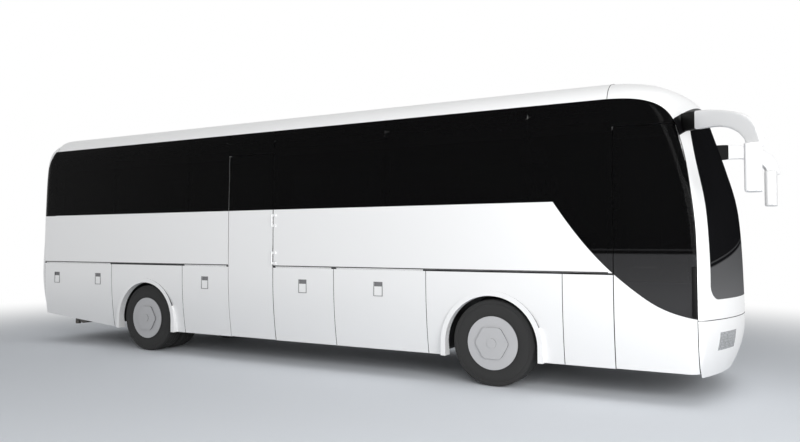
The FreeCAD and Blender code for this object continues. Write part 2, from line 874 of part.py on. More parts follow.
def arm_bar(z):
    points = [(arm_post_x, -arm_post_y), (arm_post_x + arm_elbow_x, -arm_post_y + arm_elbow_y),
              (arm_post_x + arm_bend_x, -arm_post_y - arm_bend_y), (door_pin_x, -arm_post_y)]
    solids = []
    for (ax, ay), (bx, by) in zip(points, points[1:]):
        run = math.hypot(bx - ax, by - ay)
        nx = -(by - ay) / run * arm_half_thickness
        ny = (bx - ax) / run * arm_half_thickness
        solids.append(prism_z([(ax - nx, ay - ny), (bx - nx, by - ny), (bx + nx, by + ny),
                               (ax + nx, ay + ny)],
                              z, z + arm_height))
    for ex, ey in points[1:-1]:
        solids.append(rod(V(ex, ey, z), V(ex, ey, z + arm_height), arm_half_thickness))
    solids.append(rod(V(door_pin_x, -arm_post_y, z), V(door_pin_x, -arm_post_y, z + arm_height),
                      arm_boss_radius))
    return solids


post_foot = first_step + face_clearance
post_head = arm_high + arm_height + door_gap / 2
arm_parts = [rod(V(arm_post_x, -arm_post_y, post_foot), V(arm_post_x, -arm_post_y, post_head),
                 arm_post_radius)]
for z in (arm_low, arm_high):
    arm_parts += arm_bar(z)
arms = joined(arm_parts)
pin_parts = []
for z in (arm_low, arm_high):
    hole = rod(V(door_pin_x, -arm_post_y, z - overrun),
               V(door_pin_x, -arm_post_y, z + arm_height + overrun),
               arm_pin_radius + running_clearance)
    arms = arms.cut(hole)
    low = z - face_clearance
    inner_y = -at_height(pushed_in(SIDE, panel_thickness), z)
    pin = rod(V(door_pin_x, -arm_post_y, low - step_thickness), V(door_pin_x, -arm_post_y, z + arm_height),
              arm_pin_radius)
    foot = box(door_pin_x - arm_boss_radius, door_pin_x + arm_boss_radius, inner_y - door_gap,
               -arm_post_y + arm_boss_radius, low - step_thickness, low)
    pin_parts += [pin, foot]
arm_notch = box(door_pin_x + arm_boss_radius + door_gap, front_tip, -arm_post_y + arm_boss_radius, 0,
                arm_high - door_half, arm_high + arm_height + door_half)
front_leaf = front_leaf.cut(arm_notch).fuse(pin_parts).removeSplitter()
post_bracket = box(front_door_start - window_pillar / 2, arm_post_x + arm_boss_radius,
                   -half_width + wall_thickness / 2, -arm_post_y + arm_boss_radius,
                   post_head + face_clearance, post_head + face_clearance + step_thickness)
bracket_zone = section_prism(glass_thickness * 2, post_head, door_top, floor_front, front_door_end)
post_bracket = post_bracket.common(bracket_zone)
post_bracket = post_bracket.cut(box(front_door_start - seam_half, front_door_end, -wide,
                                    -half_width + wall_thickness + door_gap, post_head, door_top))

right_wall = wall(True).fuse([post_bracket] + wall_lugs).removeSplitter()
left_wall = mirrored(wall(False))
keep("side_wall_right", [right_wall, header, rear_arch, front_arch, filler_panel])
keep("side_wall_left", [left_wall] + [mirrored(p) for p in (rear_arch, front_arch, filler_panel)])
keep("driver_side_panel", [mirrored(driver_frame), mirrored(driver_low)])
keep("front_door_leaf", front_leaf)
keep("front_door_glass", front_pane)
keep("front_door_arms", arms)
keep("middle_door_leaf", middle_leaf)
keep("middle_door_glass", middle_pane)

# Side glass: the panes between the joints, the wrap round the rear corner, the pane over the door
rear_wrap = glass_prism.common(right_box(-rear_overhang, rear_cap_seam - pane_gap / 2, band_bottom, high_z))
rear_wrap_glass = rear_wrap.common(rear_outer).cut(rear_glass_core)
rear_wrap_recess = rear_wrap.cut(rear_glass_core)


def panes(with_door):
    cuts = []
    for place in pillar_places:
        cuts.append(right_box(place - pane_gap / 2, place + pane_gap / 2, low_band, high_z))
    cuts.append(prism_y([(front_pillar_place + front_pillar_lean, low_band),
                         (front_pillar_place + front_pillar_lean + pane_gap, low_band),
                         (front_pillar_place + front_pillar_lean + pane_gap, band_bottom),
                         (front_pillar_place + pane_gap, window_top),
                         (front_pillar_place + pane_gap, high_z),
                         (front_pillar_place, high_z), (front_pillar_place, window_top),
                         (front_pillar_place + front_pillar_lean, band_bottom)], -wide, -liner_inner))
    if with_door:
        cuts.append(right_box(middle_door_start - door_half, middle_door_end + door_half, low_band,
                              door_top + door_half))
    glass = middle_glass
    for cut in cuts:
        glass = glass.cut(cut)
    return glass.Solids


keep("side_glass_right", panes(True) + [rear_wrap_glass, over_door_glass])
keep("side_glass_left", [mirrored(p) for p in panes(False) + [rear_wrap_glass, driver_glass]])

# Roof with a bow under each end seam
bow = wall_thickness / 2
roof = roof_band(0.0, wall_thickness, rear_cap_seam + seam_half, dome_seam - seam_half)
front_bow = roof_band(wall_thickness - face_clearance, wall_thickness + bow, dome_seam - bow * 2,
                      dome_seam + bow)
rear_bow = roof_band(wall_thickness - face_clearance, wall_thickness + bow, rear_cap_seam - bow,
                     rear_cap_seam + bow * 2)
roof_shape = joined([roof, front_bow, rear_bow]).cut(dome)

# Rear cap, window, lamps, lid and bumper
far_rear = -rear_overhang - overrun
rear_foot_high = sill_height + door_gap + rear_foot_rise
cap_zone = box(far_rear, rear_corner_seam - seam_half, -wide, wide, lid_bottom, high_z)
cap_top_zone = box(rear_corner_seam - panel_gap, rear_cap_seam - seam_half, -wide, wide,
                   band_bottom + seam_half, high_z)
window_box = box(far_rear, rear_corner_seam + overrun, -rear_window_half, rear_window_half,
                 band_bottom + window_sill, window_top)
flange = screen_flange
window_hole = box(far_rear, rear_corner_seam + overrun, flange - rear_window_half,
                  rear_window_half - flange,
                  band_bottom + window_sill + flange, window_top - flange)
lid_box = box(far_rear, rear_corner_seam + overrun, -lid_half_width, lid_half_width,
              lid_bottom - overrun, lid_top)
lamp_box = box(far_rear, rear_corner_seam + overrun, tail_lamp_inner, half_width - sill_tuck,
               tail_lamp_low, tail_lamp_high)
lamp_boxes = lamp_box.fuse(mirrored(lamp_box))
window_recess = window_box.cut(rear_glass_core)
lamp_recess_rear = lamp_boxes.cut(rear_glass_core)
wraps = rear_wrap_recess.fuse(mirrored(rear_wrap_recess))
cap = rear_shell.common(cap_zone.fuse(cap_top_zone)).cut(lid_box).cut(window_recess).cut(window_hole)
cap = cap.cut(lamp_recess_rear).cut(wraps)
keep("rear_cap", largest(cap))
keep("roof", largest(roof_shape.cut(cap)))
keep("rear_window", window_recess.common(rear_outer))
keep("tail_lamps", lamp_recess_rear.common(rear_outer).Solids)

lid_gap = door_gap / 2
lid_shape = box(far_rear, rear_corner_seam + overrun, lid_gap - lid_half_width, lid_half_width - lid_gap,
                lid_bottom, lid_top - hinge_drop - lid_hinge_radius)
lid = rear_shell.common(lid_shape)
lid = largest(lid)
lid_axis_z = lid_top - lid_hinge_radius - face_clearance
lid_axis_x = -at_height(REAR, lid_axis_z) - lid_hinge_out
for side in (RIGHT, LEFT):
    y0 = side * lid_hinge_place - lid_hinge_length / 2
    barrel = rod(V(lid_axis_x, y0, lid_axis_z), V(lid_axis_x, y0 + lid_hinge_length, lid_axis_z),
                 lid_hinge_radius)
    web = box(lid_axis_x, lid_axis_x + lid_hinge_radius * 3, y0, y0 + lid_hinge_length,
              lid_axis_z - overrun * 2, lid_axis_z)
    lid = lid.fuse([barrel, web])
keep("engine_lid", lid)
bumper_rear = rear_shell.common(box(far_rear, rear_corner_seam - seam_half, -wide, wide,
                                    rear_foot_high, lid_bottom - panel_gap))
keep("rear_bumper", largest(bumper_rear))


# Top-hinged flaps over the hold and the engine bay
def flap(x0, x1, rise_from, rise_to):
    a, b = x0 + seam_half, x1 - seam_half
    foot = sill_height + door_gap
    skin = band(foot, panel_head, 0.0, panel_thickness, a, b)
    if rise_from:
        skin = skin.cut(prism_y([(a - overrun, section_foot), (b + overrun, section_foot),
                                 (b + overrun, foot + rise_to),
                                 (a - overrun, foot + rise_from)], -wide, -liner_inner))
    hinge_y = -half_width + hinge_inset
    bar = rod(V(a + overrun, hinge_y, seam_height), V(b - overrun, hinge_y, seam_height), hinge_radius)
    web = box(a + overrun, b - overrun, hinge_y, hinge_y + hinge_radius, panel_head - overrun, seam_height)
    return skin.fuse([bar, web])


def handled(shape, places):
    for place in places:
        pocket = box(place - handle_width / 2, place + handle_width / 2, -wide, -half_width + handle_depth,
                     handle_height - handle_length / 2, handle_height + handle_length / 2)
        grip = box(place - handle_width / 2, place + handle_width / 2, -half_width + handle_depth / 4,
                   -half_width + handle_depth + handle_depth,
                   handle_height - handle_length / 2, handle_height + handle_length * handle_grip_share)
        shape = shape.cut(pocket).fuse(grip)
    return shape.removeSplitter()


engine_middle = (rear_corner_seam + rear_arch_start) / 2
engine_handle = (rear_arch_start - rear_corner_seam) * engine_handle_share
flaps = {
    "engine_flap": (rear_corner_seam, rear_arch_start, rear_foot_rise, 0.0,
                    [engine_middle - engine_handle, engine_middle + engine_handle]),
    "hold_flap_rear": (rear_arch_end, middle_door_start, 0.0, 0.0, None),
    "hold_flap_middle": (middle_door_end, hold_seam, 0.0, 0.0, None),
    "hold_flap_front": (hold_seam, front_arch_start, 0.0, 0.0, None),
    "hold_flap_long": (rear_arch_end, middle_door_end, 0.0, 0.0, None)}
for name, (x0, x1, rise_from, rise_to, places) in flaps.items():
    shape = handled(flap(x0, x1, rise_from, rise_to), places or [(x0 + x1) / 2])
    if name != "hold_flap_long":
        keep(name + "_right", shape)
    if name != "hold_flap_rear":
        keep(name + "_left", mirrored(shape))

# Underframe with bulkheads, hold floor, saloon floor, platform and stairs
rail_inner = rail_offset - rail_width / 2
rail_outer = rail_offset + rail_width / 2
high_rail_top = high_rail_bottom + rail_height
hold_rail_top = hold_rail_bottom + hold_rail_height
bulkhead_inset = bulkhead_thickness / 4
rear_plate = rear_arch_end - bulkhead_inset - bulkhead_thickness
hold_plate = front_arch_start + bulkhead_inset
engine_plate = rear_arch_start + bulkhead_inset
front_plate = front_arch_end - bulkhead_inset - bulkhead_thickness
floor_bottom = floor_top - floor_thickness
frame = []
for side in (RIGHT, LEFT):
    y0, y1 = sorted((side * rail_inner, side * rail_outer))
    frame.append(box(rear_plate, hold_plate + bulkhead_thickness, y0, y1, hold_rail_bottom, hold_rail_top))
    frame.append(box(far_rear, rear_corner_seam + overrun, y0, y1, high_rail_bottom,
                     high_rail_top).common(rear_core))
    frame.append(box(rear_corner_seam, rear_plate + bulkhead_thickness, y0, y1, high_rail_bottom,
                     high_rail_top))
    frame.append(box(dome_seam - overrun, front_tip, y0, y1, high_rail_bottom,
                     high_rail_top).common(front_core))
    frame.append(box(hold_plate, dome_seam, y0, y1, high_rail_bottom, high_rail_top))
    for x in (rear_plate, hold_plate):
        frame.append(box(x, x + bulkhead_thickness, y0, y1, hold_rail_bottom, high_rail_top))
bulkheads = []
for x, foot in ((rear_plate, hold_rail_bottom), (hold_plate, hold_rail_bottom),
                (engine_plate, high_rail_bottom),
                (front_plate, high_rail_bottom)):
    bulkheads.append(section_prism(panel_thickness + face_clearance, foot, floor_bottom, x,
                                   x + bulkhead_thickness))
engine_bottom = high_rail_bottom
engine_end = engine_start + engine_length
for x in (engine_start + cross_width, engine_end - cross_width * 2):
    frame.append(box(x, x + cross_width, -rail_outer, rail_outer, engine_bottom - cross_width,
                     engine_bottom))
towing_eyes = []
for x in (frame_rear, platform_end - cross_width):
    frame.append(box(x, x + cross_width, -rail_outer, rail_outer, high_rail_bottom, high_rail_top))
    eye_x = x + cross_width / 2
    towing_eyes.append(rod(V(eye_x, 0, high_rail_bottom - overrun), V(eye_x, 0, high_rail_top + overrun),
                           towing_eye_radius))
frame.append(box(middle_door_end + cross_width, middle_door_end + cross_width * 2, -rail_outer, rail_outer,
                 hold_rail_bottom, hold_rail_top))
axle_notch = rod(V(0, -rail_outer - overrun, tyre_radius), V(0, rail_outer + overrun, tyre_radius),
                 axle_tube_radius + door_gap)
underframe = joined(frame).cut([axle_notch] + towing_eyes)
keep("underframe", underframe)
keep("bulkheads", [plate.cut(underframe) for plate in bulkheads])

stair_well = box(middle_door_start, middle_door_end, -wide, stair_inner + step_thickness, section_foot,
                 high_z)
hold_floor = box(rear_plate + bulkhead_thickness, hold_plate, -hold_floor_half, hold_floor_half,
                 hold_rail_top, hold_rail_top + hold_floor_thickness)
keep("hold_floor", hold_floor.cut(stair_well))
saloon = section_prism(wall_thickness, floor_bottom, floor_top, rear_corner_seam + overrun,
                       front_plate + bulkhead_thickness)
saloon_tail = rear_core.common(box(far_rear, rear_corner_seam + overrun, -wide, wide, floor_bottom,
                                   floor_top))
keep("saloon_floor", saloon.cut(stair_well).fuse(saloon_tail).removeSplitter())


def stairs(x0, x1, y_out, y_in, z_low, z_high, risers):
    treads = risers
    depth = (y_in - y_out) / treads
    rise = (z_high - z_low) / risers
    top = []
    for i in range(treads):
        top += [(y_out + depth * i, z_low + rise * i), (y_out + depth * (i + 1), z_low + rise * i)]
    top.append((y_in, z_high))
    under = [(y + step_thickness if i == len(top) - 1 else y, z) for i, (y, z) in enumerate(top)]
    lower = [(y + step_thickness, z - step_thickness) for y, z in top[1:-1]]
    lower = [(y_out, z_low - step_thickness)] + lower + [(y_in + step_thickness, z_high)]
    return prism_x(under[:-1] + [(y_in, z_high)] + lower[::-1], x0, x1)


middle_stairs = stairs(middle_door_start + bulkhead_inset, middle_door_end - bulkhead_inset, stair_outer,
                       stair_inner, first_step, floor_top, stair_risers)
cheeks = []
for x in (middle_door_start + bulkhead_inset, middle_door_end - bulkhead_inset - hold_floor_thickness):
    cheeks.append(box(x, x + hold_floor_thickness, stair_outer, stair_inner, first_step - step_thickness,
                      floor_bottom))
rail_notch = box(middle_door_start, middle_door_end, -rail_outer, -rail_inner, section_foot, hold_rail_top)
keep("middle_stairs", joined([middle_stairs] + cheeks).cut(rail_notch))


# Driver's platform, front stairs and the step up to the saloon
platform = section_prism(panel_thickness + face_clearance, platform_top - platform_thickness, platform_top,
                         front_plate + bulkhead_thickness, platform_end)
stair_hole = box(front_door_start, front_tip, -wide, platform_edge, section_foot, high_z)
front_stairs = stairs(front_door_start + door_half, platform_end, stair_outer, platform_edge, first_step,
                      platform_top, 2)
saloon_step = box(front_plate + bulkhead_thickness, front_plate + bulkhead_thickness + seat_width / 4,
                  -rail_outer, rail_outer, platform_top, (platform_top + floor_top) / 2)
posts = []
for side in (RIGHT, LEFT):
    y0, y1 = sorted((side * rail_inner, side * rail_outer))
    for x in (front_plate + bulkhead_thickness, platform_end - cross_width):
        if side == RIGHT and x > front_door_start:
            y0, y1 = platform_edge, platform_edge + rail_width
        posts.append(box(x, x + cross_width, y0, y1, high_rail_top, platform_top - platform_thickness))
stair_side = box(front_door_start + door_half, front_door_start + door_half + hold_floor_thickness,
                 stair_outer, platform_edge, first_step - step_thickness, platform_top)
keep("front_floor", joined([platform.cut(stair_hole), front_stairs, saloon_step, stair_side] + posts))

# Wheel arch liners
liners = []
liner_outer = half_width - sill_tuck - door_gap - face_clearance
liner_section = section_prism(panel_thickness + face_clearance, section_foot, floor_bottom, engine_plate,
                              dome_seam)
for centre in (rear_arch_centre, front_arch_centre):
    outer = arch_outline(centre, liner_radius, -liner_outer, -liner_inner, liner_foot)
    inner = arch_outline(centre, liner_radius - liner_thickness, -liner_outer - overrun,
                         overrun - liner_inner,
                         liner_foot - overrun)
    liner = outer.cut(inner).common(liner_section)
    liners += [liner, mirrored(liner)]
keep("wheel_arch_liners", liners)


# Axles, knuckles and wheels
beam_half = beam_width / 2
eye_low = tyre_radius - eye_half_height
eye_high = tyre_radius + eye_half_height
beam_parts = []
drop_top = eye_high - beam_drop
beam_parts.append(box(wheelbase - beam_half, wheelbase + beam_half, -beam_drop_half, beam_drop_half,
                      drop_top - beam_height, drop_top))
for side in (RIGHT, LEFT):
    y_eye = side * kingpin_offset
    y_in = side * beam_drop_half
    y_bend = side * (beam_drop_half - beam_drop)
    y_lug = side * (kingpin_offset - eye_radius - lug_gap)
    wing = [(y_bend, drop_top - beam_height), (y_in, drop_top - beam_height), (y_lug, eye_low),
            (y_eye, eye_low),
            (y_eye, eye_high), (y_in, eye_high), (y_bend, drop_top)]
    shape = prism_x(wing, wheelbase - knuckle_half_depth, wheelbase + knuckle_half_depth)
    clear = rod(V(wheelbase, y_eye, eye_low - overrun), V(wheelbase, y_eye, eye_high + overrun),
                kingpin_radius + running_clearance)
    eye = rod(V(wheelbase, y_eye, eye_low), V(wheelbase, y_eye, eye_high), eye_radius)
    beam_parts.append(shape.fuse(eye).cut(clear))
spring_base = drop_top
for side in (RIGHT, LEFT):
    beam_parts.append(rod(V(wheelbase, side * rail_offset, spring_base),
                          V(wheelbase, side * rail_offset, high_rail_bottom), spring_radius))
beam = joined(beam_parts)
for side in (RIGHT, LEFT):
    y_eye = side * kingpin_offset
    beam = beam.cut(rod(V(wheelbase, y_eye, eye_low - overrun), V(wheelbase, y_eye, eye_high + overrun),
                        kingpin_radius + running_clearance))
keep("front_axle", beam)

lug_low = eye_low - lug_gap - lug_height
lug_high = eye_high + lug_gap + lug_height
web_start = kingpin_offset + eye_radius + lug_gap
web_end = web_start + spindle_radius
spindle_end = tyre_outer_face - cover_plate * 3
knuckle_parts = [
    rod(V(wheelbase, -kingpin_offset, lug_low), V(wheelbase, -kingpin_offset, lug_low + lug_height),
        eye_radius),
    rod(V(wheelbase, -kingpin_offset, lug_high - lug_height), V(wheelbase, -kingpin_offset, lug_high),
        eye_radius),
    rod(V(wheelbase, -kingpin_offset, lug_low), V(wheelbase, -kingpin_offset, lug_high), kingpin_radius),
    box(wheelbase - knuckle_half_depth, wheelbase + knuckle_half_depth, -web_end, -web_start, lug_low,
        lug_high),
    box(wheelbase - knuckle_half_depth, wheelbase + knuckle_half_depth, -web_end, -kingpin_offset, lug_low,
        lug_low + lug_height),
    box(wheelbase - knuckle_half_depth, wheelbase + knuckle_half_depth, -web_end, -kingpin_offset,
        lug_high - lug_height, lug_high),
    rod(V(wheelbase, -web_start, tyre_radius), V(wheelbase, -spindle_end, tyre_radius), spindle_radius)]
knuckle = joined(knuckle_parts)
keep("knuckle_right", knuckle)
keep("knuckle_left", mirrored(knuckle))

inner_face = tyre_outer_face - tyre_width
rear_hub_inner = inner_face - twin_spacing
tube_end = inner_face - twin_spacing + tyre_width
axle_parts = [rod(V(0, -tube_end, tyre_radius), V(0, tube_end, tyre_radius), axle_tube_radius),
              rod(V(0, -spindle_end, tyre_radius), V(0, spindle_end, tyre_radius), spindle_radius),
              rod(V(0, -differential_half, tyre_radius), V(0, differential_half, tyre_radius),
                  differential_radius)]
for side in (RIGHT, LEFT):
    top = high_rail_bottom
    axle_parts.append(box(-spring_radius, spring_radius, side * rail_offset - rail_width / 2,
                          side * rail_offset + rail_width / 2, tyre_radius, top))
keep("rear_axle", joined(axle_parts))


# A tyre is faceted round, with its flats on the true radii
def tyre(y_outer):
    middle = y_outer - tyre_width / 2
    half = tyre_width / 2
    wall_radius = (tyre_radius + rim_radius) / 2
    shoulder = tyre_radius - tread_drop
    points = [(tread_half, tyre_radius), (half - tread_drop / 2, shoulder), (half, wall_radius),
              (half - tread_drop, rim_radius)]
    outline = points + [(-y, r) for y, r in points[::-1]]
    turns = [math.pi * 2 * i / tyre_facets for i in range(tyre_facets)]
    widen = 1 / math.cos(math.pi / tyre_facets)
    rows = []
    for a in turns:
        across, up = widen * math.cos(a), widen * math.sin(a)
        rows.append([V(r * across, -(middle + y), r * up) for y, r in outline])
    faces = []
    for row, after in zip(rows, rows[1:] + rows[:1]):
        for j in range(len(outline)):
            k = (j + 1) % len(outline)
            faces.append(Part.Face(ring([row[j], row[k], after[k], after[j]])))
    solid = Part.Solid(Part.makeShell(faces))
    if solid.Volume < 0:
        solid.reverse()
    return solid


def tube(radius, bore, y0, y1):
    return rod(V(0, -y0, 0), V(0, -y1, 0), radius).cut(rod(V(0, -y0 + overrun, 0), V(0, -y1 - overrun, 0),
                                                           bore))


def hexagon_plate(y0, y1):
    corners = []
    for i in range(6):
        turn = math.pi / 3 * i
        corners.append(V(cover_hexagon_radius * math.cos(turn), -y0, cover_hexagon_radius * math.sin(turn)))
    face = Part.Face(ring(corners))
    solid = face.extrude(V(0, -(y1 - y0), 0))
    upright = [e for e in solid.Edges if abs(e.Vertexes[0].Y - e.Vertexes[1].Y) > cover_plate]
    return solid.makeFillet(cover_hexagon_round, upright)


def wheel(inner_y, hub_from, hub_to, bore):
    barrel = tube(rim_radius, rim_radius - rim_thickness, inner_y, tyre_outer_face)
    disc = tube(rim_radius, bore, hub_to - rim_thickness, hub_to)
    hub = tube(hub_radius, bore, hub_from, hub_to)
    plate_end = tyre_outer_face + cover_plate
    step_end = plate_end + cover_step
    cover = rod(V(0, -tyre_outer_face, 0), V(0, -plate_end, 0), cover_radius)
    hexagon = hexagon_plate(plate_end - cover_plate / 2, step_end)
    cap = rod(V(0, -step_end, 0), V(0, -step_end - cover_cap_height, 0), cover_cap_radius)
    return joined([barrel, disc, hub, cover, hexagon, cap])


def set_wheel(shape, x):
    moved = shape.copy()
    moved.translate(V(x, 0, tyre_radius))
    return moved


front_wheel = wheel(inner_face, web_end + lug_gap, spindle_end + rim_thickness,
                    spindle_radius + running_clearance)
rear_wheel = wheel(rear_hub_inner, tube_end + lug_gap, spindle_end + rim_thickness,
                   spindle_radius + running_clearance)
front_tyre = tyre(tyre_outer_face)
twin_tyre = tyre(tyre_outer_face - twin_spacing)
for label, flip in (("right", False), ("left", True)):
    for end, x, rim_shape, tyres in (("front", wheelbase, front_wheel, [front_tyre]),
                                     ("rear", 0.0, rear_wheel, [front_tyre, twin_tyre])):
        rim_set = set_wheel(rim_shape, x)
        tyre_set = [set_wheel(t, x) for t in tyres]
        if flip:
            rim_set = mirrored(rim_set)
            tyre_set = [mirrored(t) for t in tyre_set]
        keep("wheel_" + end + "_" + label, rim_set)
        keep("tyre_" + end + "_" + label, tyre_set)

# Engine and exhaust
keep("engine_block", box(engine_start, engine_end, -engine_half_width, engine_half_width, engine_bottom,
                         engine_bottom + engine_height))
silencer_z = high_rail_bottom - silencer_radius
silencer = rod(V(silencer_place, -rail_inner, silencer_z), V(silencer_place, -silencer_outer, silencer_z),
               silencer_radius)
pipe_y = -silencer_outer + tailpipe_radius * 2
pipe = rod(V(tailpipe_place, pipe_y, sill_height - overrun), V(tailpipe_place, pipe_y, silencer_z),
           tailpipe_radius)
pipe_run = rod(V(tailpipe_place - tailpipe_radius, pipe_y, silencer_z),
               V(silencer_place, pipe_y, silencer_z),
               tailpipe_radius)
keep("exhaust", joined([silencer, pipe, pipe_run]))


# Seats
def seat(x, y0, y1, floor_z):
    top = floor_z + cushion_top
    low = top - cushion_thickness
    back = floor_z + back_height
    pedestal = x + (seat_depth - pedestal_depth) / 2
    outline = [(pedestal, floor_z), (pedestal + pedestal_depth, floor_z), (pedestal + pedestal_depth, low),
               (x + seat_depth, low), (x + seat_depth, top), (x + back_thickness, top),
               (x + back_thickness - back_lean, back), (x - back_lean, back), (x, low), (pedestal, low)]
    return prism_y(outline, y0, y1)


seat_outer = half_width - wall_thickness - overrun
seat_lists = {RIGHT: [], LEFT: []}
for i in range(seat_rows):
    x = seat_first + seat_pitch * i
    for side in (RIGHT, LEFT):
        if side == RIGHT and middle_door_start - seat_depth < x < middle_door_end + back_lean:
            continue
        y0, y1 = sorted((side * seat_outer, side * (seat_outer - seat_width)))
        seat_lists[side].append(seat(x, y0, y1, floor_top))
keep("passenger_seats_right", seat_lists[RIGHT])
keep("passenger_seats_left", seat_lists[LEFT])
keep("driver_seat", seat(driver_seat_place, driver_seat_side - driver_seat_width / 2,
                         driver_seat_side + driver_seat_width / 2, platform_top))

# Dashboard with the steering column
dash_outline = [(dash_start, platform_top), (dash_start - column_radius * 2, dash_top - column_length / 2),
                (dash_start, dash_top), (dash_start + column_length, dash_top),
                (front_tip, dash_low + overrun), (front_tip, dash_low - overrun), (platform_end, platform_top)]
dash = prism_y(dash_outline, dash_right, dash_left).common(front_core)
tilt = math.radians(steering_tilt)
axis = V(-math.sin(tilt), 0, math.cos(tilt))
wheel_centre = V(steering_x, driver_seat_side, steering_z)
column_top = wheel_centre - axis * (steering_tube + face_clearance)
column = rod(column_top - axis * column_length, column_top, column_radius)
keep("dashboard", dash.fuse(column))
ring_tube = Part.makeTorus(steering_radius, steering_tube, wheel_centre, axis)
hub = rod(wheel_centre - axis * steering_tube, wheel_centre + axis * steering_tube,
          column_radius + steering_tube)
spokes = []
for turn in (0.0, math.pi * 2 / 3, math.pi * 4 / 3):
    across = V(0, 1, 0)
    along = axis.cross(across)
    tip = wheel_centre + (along * math.cos(turn) + across * math.sin(turn)) * steering_radius
    spokes.append(rod(wheel_centre, tip, spoke_radius))
keep("steering_wheel", joined([ring_tube, hub] + spokes))

# Overhead racks, seated on the side walls
rack_x0 = rear_corner_seam + rack_depth
rack_core = section_prism(wall_thickness + face_clearance * 2, rack_bottom - overrun, band_top - overrun,
                          rack_x0, floor_front)
racks = []
outer_y = half_width
inner_y = half_width - wall_thickness - rack_depth
shelf = box(rack_x0, floor_front, -outer_y, -inner_y, rack_bottom, rack_bottom + rack_plate)
lip = box(rack_x0, floor_front, -inner_y - rack_plate, -inner_y, rack_bottom, rack_bottom + rack_height / 2)
rack = shelf.fuse(lip).common(rack_core)
keep("luggage_racks", [rack, mirrored(rack)])


# Mirrors: an arm in one upright plane with the head hanging from its end
def mirror_outline(drop):
    low = mirror_head_bottom
    span = mirror_root_high - low
    outer = [(mirror_reach * a, low + span * b - drop * (1 - a)) for a, b in mirror_arm_outer_shares]
    inner = [(mirror_reach * a, low + span * b - drop * (1 - a)) for a, b in mirror_arm_inner_shares]
    root_high = (0.0, mirror_root_high - drop)
    root_low = (0.0, mirror_root_low - drop)
    return root_high, outer, inner, root_low


def mirror(drop):
    root_high, outer, inner, root_low = mirror_outline(drop)

    def place(p):
        s, z = p
        return V(mirror_root_x + s * math.cos(mirror_turn), -mirror_root_y - s * math.sin(mirror_turn), z)

    normal = V(math.sin(mirror_turn), math.cos(mirror_turn), 0)
    edges = [curve_edge([place(root_high)] + [place(p) for p in outer]),
             Part.LineSegment(place(outer[-1]), place(inner[0])).toShape(),
             curve_edge([place(p) for p in inner] + [place(root_low)]),
             Part.LineSegment(place(root_low), place(root_high)).toShape()]
    face = Part.Face(Part.Wire(edges))
    face.translate(normal * (-mirror_thickness / 2))
    arm = face.extrude(normal * mirror_thickness)
    head_s = (mirror_head_inner + mirror_reach) / 2
    centre = place((head_s, mirror_head_bottom))
    head_top = outer[-1][1] + overrun
    head = box(centre.x - mirror_head_depth / 2, centre.x + mirror_head_depth / 2,
               centre.y - mirror_head_width / 2, centre.y + mirror_head_width / 2,
               mirror_head_bottom, head_top)
    upright = [e for e in head.Edges if abs(e.Vertexes[0].Z - e.Vertexes[1].Z) > overrun]
    head = head.makeFillet(overrun, upright)
    return arm.cut(front_outer).fuse(head).removeSplitter()


keep("mirror_right", largest(mirror(0.0)))
keep("mirror_left", largest(mirrored(mirror(mirror_left_drop))))


def write_all():
    os.makedirs("parts", exist_ok=True)
    shift = V(-middle_x, 0, 0)
    for name, solids in nodes.items():
        shape = solids[0] if len(solids) == 1 else Part.makeCompound(solids)
        moved = shape.copy()
        moved.translate(shift)
        moved.exportStep("parts/" + name + ".step")
        print(name, len(moved.Solids), moved.isValid(), round(moved.Volume / 1e6, 2))


write_all()
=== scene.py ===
"""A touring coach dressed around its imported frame: paint, glass, rubber, lamps, cabin and studio light."""

import json
import logging
import math
from dataclasses import dataclass
from enum import Enum
from typing import Iterable, Sequence

import bmesh
import bpy
from mathutils import Matrix, Vector
from mathutils.bvhtree import BVHTree

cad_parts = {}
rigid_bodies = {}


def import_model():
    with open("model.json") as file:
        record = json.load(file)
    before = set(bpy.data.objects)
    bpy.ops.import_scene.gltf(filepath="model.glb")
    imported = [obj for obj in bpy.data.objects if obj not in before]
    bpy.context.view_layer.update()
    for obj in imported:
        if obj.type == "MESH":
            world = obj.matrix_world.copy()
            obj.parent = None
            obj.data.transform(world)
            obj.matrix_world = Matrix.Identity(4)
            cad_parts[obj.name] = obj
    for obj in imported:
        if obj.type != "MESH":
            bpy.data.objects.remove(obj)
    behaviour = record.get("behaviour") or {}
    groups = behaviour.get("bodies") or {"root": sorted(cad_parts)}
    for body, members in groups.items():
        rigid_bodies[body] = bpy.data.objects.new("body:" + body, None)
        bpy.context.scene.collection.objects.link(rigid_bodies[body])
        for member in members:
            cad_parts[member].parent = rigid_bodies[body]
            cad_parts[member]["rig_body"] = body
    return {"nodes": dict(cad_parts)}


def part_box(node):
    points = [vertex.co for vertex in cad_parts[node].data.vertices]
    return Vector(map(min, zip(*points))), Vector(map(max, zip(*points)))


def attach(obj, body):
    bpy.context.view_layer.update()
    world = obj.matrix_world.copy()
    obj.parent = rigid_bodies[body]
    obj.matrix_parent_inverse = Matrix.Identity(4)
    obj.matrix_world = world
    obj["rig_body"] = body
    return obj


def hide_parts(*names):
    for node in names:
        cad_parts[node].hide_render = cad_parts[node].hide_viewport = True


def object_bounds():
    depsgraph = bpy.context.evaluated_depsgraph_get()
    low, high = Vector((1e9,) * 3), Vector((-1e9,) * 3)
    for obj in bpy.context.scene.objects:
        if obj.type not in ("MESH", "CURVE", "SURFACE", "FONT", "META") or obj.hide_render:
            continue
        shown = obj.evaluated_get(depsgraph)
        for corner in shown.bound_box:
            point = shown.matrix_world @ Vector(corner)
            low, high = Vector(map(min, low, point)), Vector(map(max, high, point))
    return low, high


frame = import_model()
CAD_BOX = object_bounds()
log = logging.getLogger("coach")

